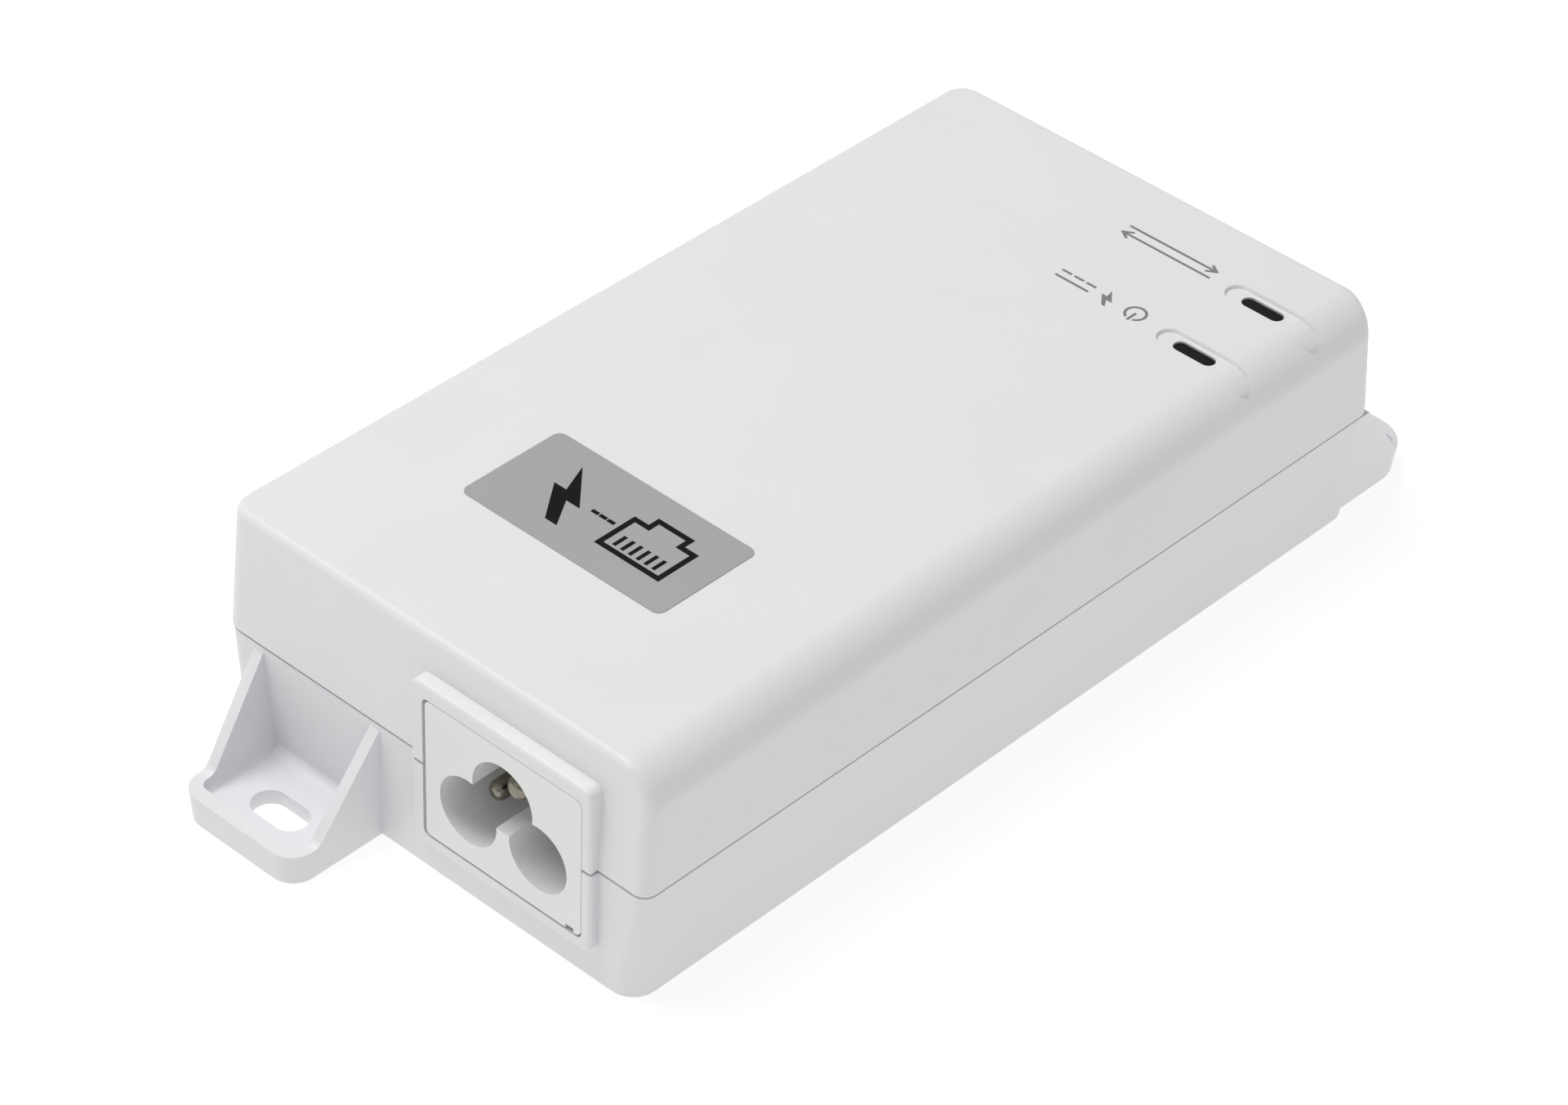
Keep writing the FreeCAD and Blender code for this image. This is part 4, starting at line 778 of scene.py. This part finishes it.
def jackHousing(name, x):
    face, back = jack["face"], jack["face"] - jack["depth"]
    body = addBox(f"{name}_body", (x - jack["halfWidth"], back, jack["low"]),
                  (x + jack["halfWidth"], face, jack["high"]))
    boxEdges(body, lambda p, d: 0.35 if p.y > face - 0.01 or abs(d.y) > 0.9 else 0, 3)
    inner = face - jack["portDepth"]
    port = addBox("port", (x - jack["portHalf"], inner, jack["portLow"]),
                  (x + jack["portHalf"], face + 1, jack["portHigh"]))
    key = addBox("key", (x - jack["keyHalf"], inner, jack["keyLow"]),
                 (x + jack["keyHalf"], face + 1, jack["portLow"] + 1.2))
    latch = addBox("latch", (x - jack["latchHalf"], inner, jack["latchLow"]),
                   (x + jack["latchHalf"], face + 1, jack["keyLow"] + 0.7))
    combine(port, [key, latch], "UNION")
    wide = jack["mouth"]
    mouth = addBox("mouth", (x - jack["portHalf"] - wide, face - wide, jack["portLow"] - 0.1),
                   (x + jack["portHalf"] + wide, face + 1, jack["portHigh"] + wide))
    boxEdges(mouth, lambda p, d: 0.45 if p.y < face else 0, 2)
    combine(body, [port, mouth])
    for i in range(9):  # the comb that keeps the contacts apart
        at = x + (i - 4) * jack["pitch"]
        comb = addBox(f"tooth{i}", (at - tooth["half"], inner - 0.3, tooth["low"]),
                      (at + tooth["half"], inner + tooth["length"], tooth["high"]))
        combine(body, [comb], "UNION")
    return finish(body, looks["jack"], "jack_plastic", f"{name}_jack_housing")


def jackContacts(name, x):
    # eight springs that come down from the roof and curl back at their tips
    inner, wires = jack["face"] - jack["portDepth"], []
    for i in range(8):
        at = x + (i - 3.5) * jack["pitch"]
        wire = addBox(f"{name}Wire{i}", (at - spring["half"], inner - 1.1, spring["low"]),
                      (at + spring["half"], inner + 0.1, spring["high"]))
        for out, up in spring["runs"]:
            only(wire)
            bpy.ops.object.mode_set(mode="EDIT")
            bpy.ops.mesh.select_mode(type="FACE")
            bpy.ops.mesh.select_all(action="DESELECT")
            grid = bmesh.from_edit_mesh(wire.data)
            tip = max(grid.faces, key=lambda f: f.calc_center_median().y + f.normal.y * 0.01)
            tip.select_set(True)
            bmesh.update_edit_mesh(wire.data)
            bpy.ops.mesh.extrude_region_move(TRANSFORM_OT_translate={"value": (0, out * mm, up * mm)})
            bpy.ops.object.mode_set(mode="OBJECT")
        wires.append(softenSharp(wire, spring["round"], 12, 2))
    springs = joinAll(f"{name}_springs", wires)
    return finish(springs, looks["gold"], "contact_gold", f"{name}_jack_contacts")


def jackShield(name, x):
    face, back, t = jack["face"], jack["face"] - jack["depth"], jack["sheet"]
    half, low, high = jack["halfWidth"], jack["low"], jack["high"]
    can = addBox(f"{name}_can", (x - half - t, back - t, low - t), (x + half + t, face, high + t))
    boxEdges(can, lambda p, d: 0.4 if abs(d.y) > 0.9 else 0, 3)
    combine(can, [addBox("canRoom", (x - half, back, low), (x + half, face + 1, high))])
    inner, outer, tall = finger["slot"]
    root, tip = finger["reach"]
    for edge in (x - half - t / 2, x + half + t / 2):  # sprung fingers pressed out of the cheeks
        for z in finger["rows"]:
            slot = addBox("fingerSlot", (edge - 0.3, face - inner, z), (edge + 0.3, face - outer, z + tall))
            combine(can, [slot])
            strip = addBox("finger", (edge - t / 2, face - root, z + finger["low"]),
                           (edge + t / 2, face - tip, z + finger["high"]))
            combine(can, [strip], "UNION")
    return finish(can, looks["steel"], "shield_steel", f"{name}_jack_shield")


print("jacks")
for jackName, jackX in zip(("data_in", "power_out"), jackHole["centres"]):
    jackHousing(jackName, jackX)
    jackContacts(jackName, jackX)
    jackShield(jackName, jackX)


# ---- case screws, cross recess

caseScrew = {"head": 2.5, "low": 6.1, "seat": 8.0, "dome": 0.9, "edge": 0.15, "shank": 1.15, "end": 21.0,
             "point": 0.6, "thread": 1.4, "threadLow": 10.2, "threadHigh": 19.6, "threadWide": 0.5,
             "threadEdge": 0.22, "pitch": 1.0, "blade": (1.35, 0.32), "bladeTop": 7.2,
             "bladeTaper": (0.45, 0.6), "turned": 0.4}


def caseScrews():
    x, y = bosses[0]
    low, seat, end = caseScrew["low"], caseScrew["seat"], caseScrew["end"]
    head = addRod("screw0", (x, y, (low + seat) / 2), caseScrew["head"], seat - low, sides=48)
    boxEdges(head, lambda p, d: caseScrew["dome"] if p.z < low + 0.01 else caseScrew["edge"], 5)
    shank = addRod("shank", (x, y, (seat + end) / 2 - 0.2), caseScrew["shank"], end - seat + 0.3, sides=24)
    boxEdges(shank, lambda p, d: caseScrew["point"] if p.z > end - 1 else 0, 2)
    combine(head, [shank], "UNION")
    z = caseScrew["threadLow"]
    while z < caseScrew["threadHigh"]:
        thread = addRod("thread", (x, y, z), caseScrew["thread"], caseScrew["threadWide"], sides=24)
        boxEdges(thread, lambda p, d: caseScrew["threadEdge"] if abs(d.z) < 0.5 else 0, 1)
        combine(head, [thread], "UNION")
        z += caseScrew["pitch"]
    (bladeX, bladeY), bladeTop = caseScrew["blade"], caseScrew["bladeTop"]
    for turn in (0, math.pi / 2):
        blade = addBox("blade", (-bladeX, -bladeY, 5), (bladeX, bladeY, bladeTop))
        pushTop(blade, bladeTop, *caseScrew["bladeTaper"])
        only(blade)
        bpy.ops.transform.rotate(value=turn + caseScrew["turned"], orient_axis="Z",
                                 center_override=(0, 0, 0))
        bpy.ops.transform.translate(value=(x * mm, y * mm, 0))
        bpy.ops.object.transform_apply(location=True, rotation=True, scale=True)
        combine(head, [blade])
    screws = [head]
    for otherX, otherY in bosses[1:]:
        other = head.copy()
        other.data = head.data.copy()
        bpy.context.collection.objects.link(other)
        leanSide(other, lambda p: True, (otherX - x, otherY - y, 0))
        screws.append(other)
    return finish(joinAll("case_screw_set", screws), looks["screw"], "screw_steel", "case_screws")


print("screws")
caseScrews()


# ---- what sits on the board keeps its shape from the frame and gets its finish here

boardLooks = {
    "main_board": makeFinish("boardGreen", circuitPaint),
    "insulating_sheet": makeFinish("fibreSheet", speckled((0.45, 0.36, 0.24), (0.55, 0.45, 0.31), 0.5, 0.6)),
    "board_screws": looks["screw"], "heatsink_screws": looks["screw"],
    "mains_fuse": makeFinish("fuseCeramic", speckled((0.66, 0.63, 0.55), (0.76, 0.73, 0.66), 0.8, 0.3)),
    "fuse_clips": makeFinish("clipTin", metal((0.66, 0.66, 0.65), 0.35), Metallic=1.0),
    "varistor": makeFinish("coatingBlue", speckled((0.01, 0.05, 0.22), (0.02, 0.09, 0.32), 1.2, 0.35)),
    "thermistor": makeFinish("coatingDark", speckled((0.01, 0.02, 0.015), (0.03, 0.045, 0.03), 1.2, 0.35)),
    "x_capacitor": makeFinish("filmYellow", moulded((0.75, 0.50, 0.06), 0.3, 0.01, 0.4, 0.05)),
    "choke_core": makeFinish("ferrite", speckled((0.018, 0.018, 0.02), (0.05, 0.05, 0.052), 0.15, 0.5)),
    "choke_windings": makeFinish("copperWire", wound((0.30, 0.09, 0.03), (0.72, 0.30, 0.13), 0.9, "Y"),
                                 Metallic=0.8),
    "output_inductor": makeFinish("copperDrum", wound((0.30, 0.09, 0.03), (0.72, 0.30, 0.13), 0.7, "Z"),
                                  Metallic=0.8),
    "bridge_rectifier": makeFinish("chipEpoxy", speckled((0.012, 0.012, 0.013), (0.03, 0.03, 0.031),
                                                         0.2, 0.5)),
    "bulk_capacitor": makeFinish("sleeveBlack", moulded((0.02, 0.02, 0.024), 0.5, 0.01, 0.25, 0.2)),
    "transistor_heatsink": makeFinish("heatsinkAluminium", metal((0.70, 0.70, 0.71), 0.35, (0.1, 1, 1)),
                                      Metallic=1.0),
    "transformer_bobbin": makeFinish("bobbinPlastic", moulded((0.03, 0.03, 0.03), 0.3, 0.008, 0.45, 0.1)),
    "transformer_windings": makeFinish("tapeYellow", wound((0.55, 0.36, 0.03), (0.78, 0.55, 0.08), 3.0, "Y")),
    "power_led": makeFinish("ledClear", moulded((0.75, 0.78, 0.72), 0.3, 0.004, 0.2)),
}
alike = {"varistor": ("y_capacitor",), "choke_core": ("transformer_core",), "power_led": ("active_led",),
         "bridge_rectifier": ("switching_transistor", "output_diode", "optocoupler", "pwm_controller",
                              "data_transformer", "power_controller", "sense_resistor"),
         "bulk_capacitor": ("output_capacitors",), "transistor_heatsink": ("diode_heatsink",)}
for source, others in alike.items():
    for other in others:
        boardLooks[other] = boardLooks[source]
for nodeName, look in boardLooks.items():
    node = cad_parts[nodeName]
    node.data.materials.clear()
    node.data.materials.append(look)
print("board parts painted:", len(boardLooks))


# ---- floor, light and camera

stage = {"floor": (0.22, 0.22, 0.22), "floorGlow": 0.82, "world": 0.45}
lamps = {"overhead": ((-220, -120, 700), (0, 0, 0), 420, 3.2),  # place, aim, size, watts
         "frontFill": ((-150, -600, 250), (0, 0, 10), 400, 0.1)}


def layFloor():
    only(None)
    bpy.ops.mesh.primitive_plane_add(size=6)
    floor = named("floor")
    floor.data.materials.append(makeFinish("paleFloor", lambda place: {
        "Base Color": place.noise(400, 1).blend(stage["floor"], lighter(stage["floor"], 1.01))},
        Roughness=0.7, Emission_Color=(1, 1, 1, 1), Emission_Strength=stage["floorGlow"]))


def hangLight(name, place, aim, size, watts):
    only(None)
    bpy.ops.object.light_add(type="AREA", location=[c * mm for c in place])
    lamp = bpy.context.object
    lamp.name = name
    lamp.data.size, lamp.data.energy = size * mm, watts
    lamp.rotation_euler = (Vector(aim) - Vector(place)).to_track_quat("-Z", "Y").to_euler()


camera = {"azimuth": 41.863, "elevation": 38.394, "roll": 2.248, "distance": 558.0,
          "right": -3.546, "up": -6.238, "aim": 17.17, "lens": 118.83}


def setCamera():
    a, e, r = (math.radians(camera[k]) for k in ("azimuth", "elevation", "roll"))
    back = Vector((math.sin(a) * math.cos(e), -math.cos(a) * math.cos(e), math.sin(e)))
    level = (-back).cross(Vector((0, 0, 1))).normalized()
    upright = level.cross(-back)
    right = level * math.cos(r) + upright * math.sin(r)
    up = upright * math.cos(r) - level * math.sin(r)
    spot = back * camera["distance"] + right * camera["right"] + up * camera["up"]
    spot += Vector((0, 0, camera["aim"]))
    data = bpy.data.cameras.new("camera")
    eye = bpy.data.objects.new("camera", data)
    bpy.context.scene.collection.objects.link(eye)
    data.lens, data.sensor_width = camera["lens"], 36
    data.clip_start, data.clip_end = 0.01, 20
    turn = Matrix((right, up, back)).transposed().to_4x4()
    eye.matrix_world = Matrix.Translation(spot * mm) @ turn
    bpy.context.scene.camera = eye


layFloor()
world = bpy.context.scene.world = bpy.data.worlds.new("studio")
world.use_nodes = True
sky = world.node_tree.nodes["Background"].inputs
sky["Color"].default_value, sky["Strength"].default_value = (1, 1, 1, 1), stage["world"]
for lampName, lampPlace in lamps.items():
    hangLight(lampName, *lampPlace)
bpy.context.scene.view_settings.view_transform = "Standard"
setCamera()
print("stage set")
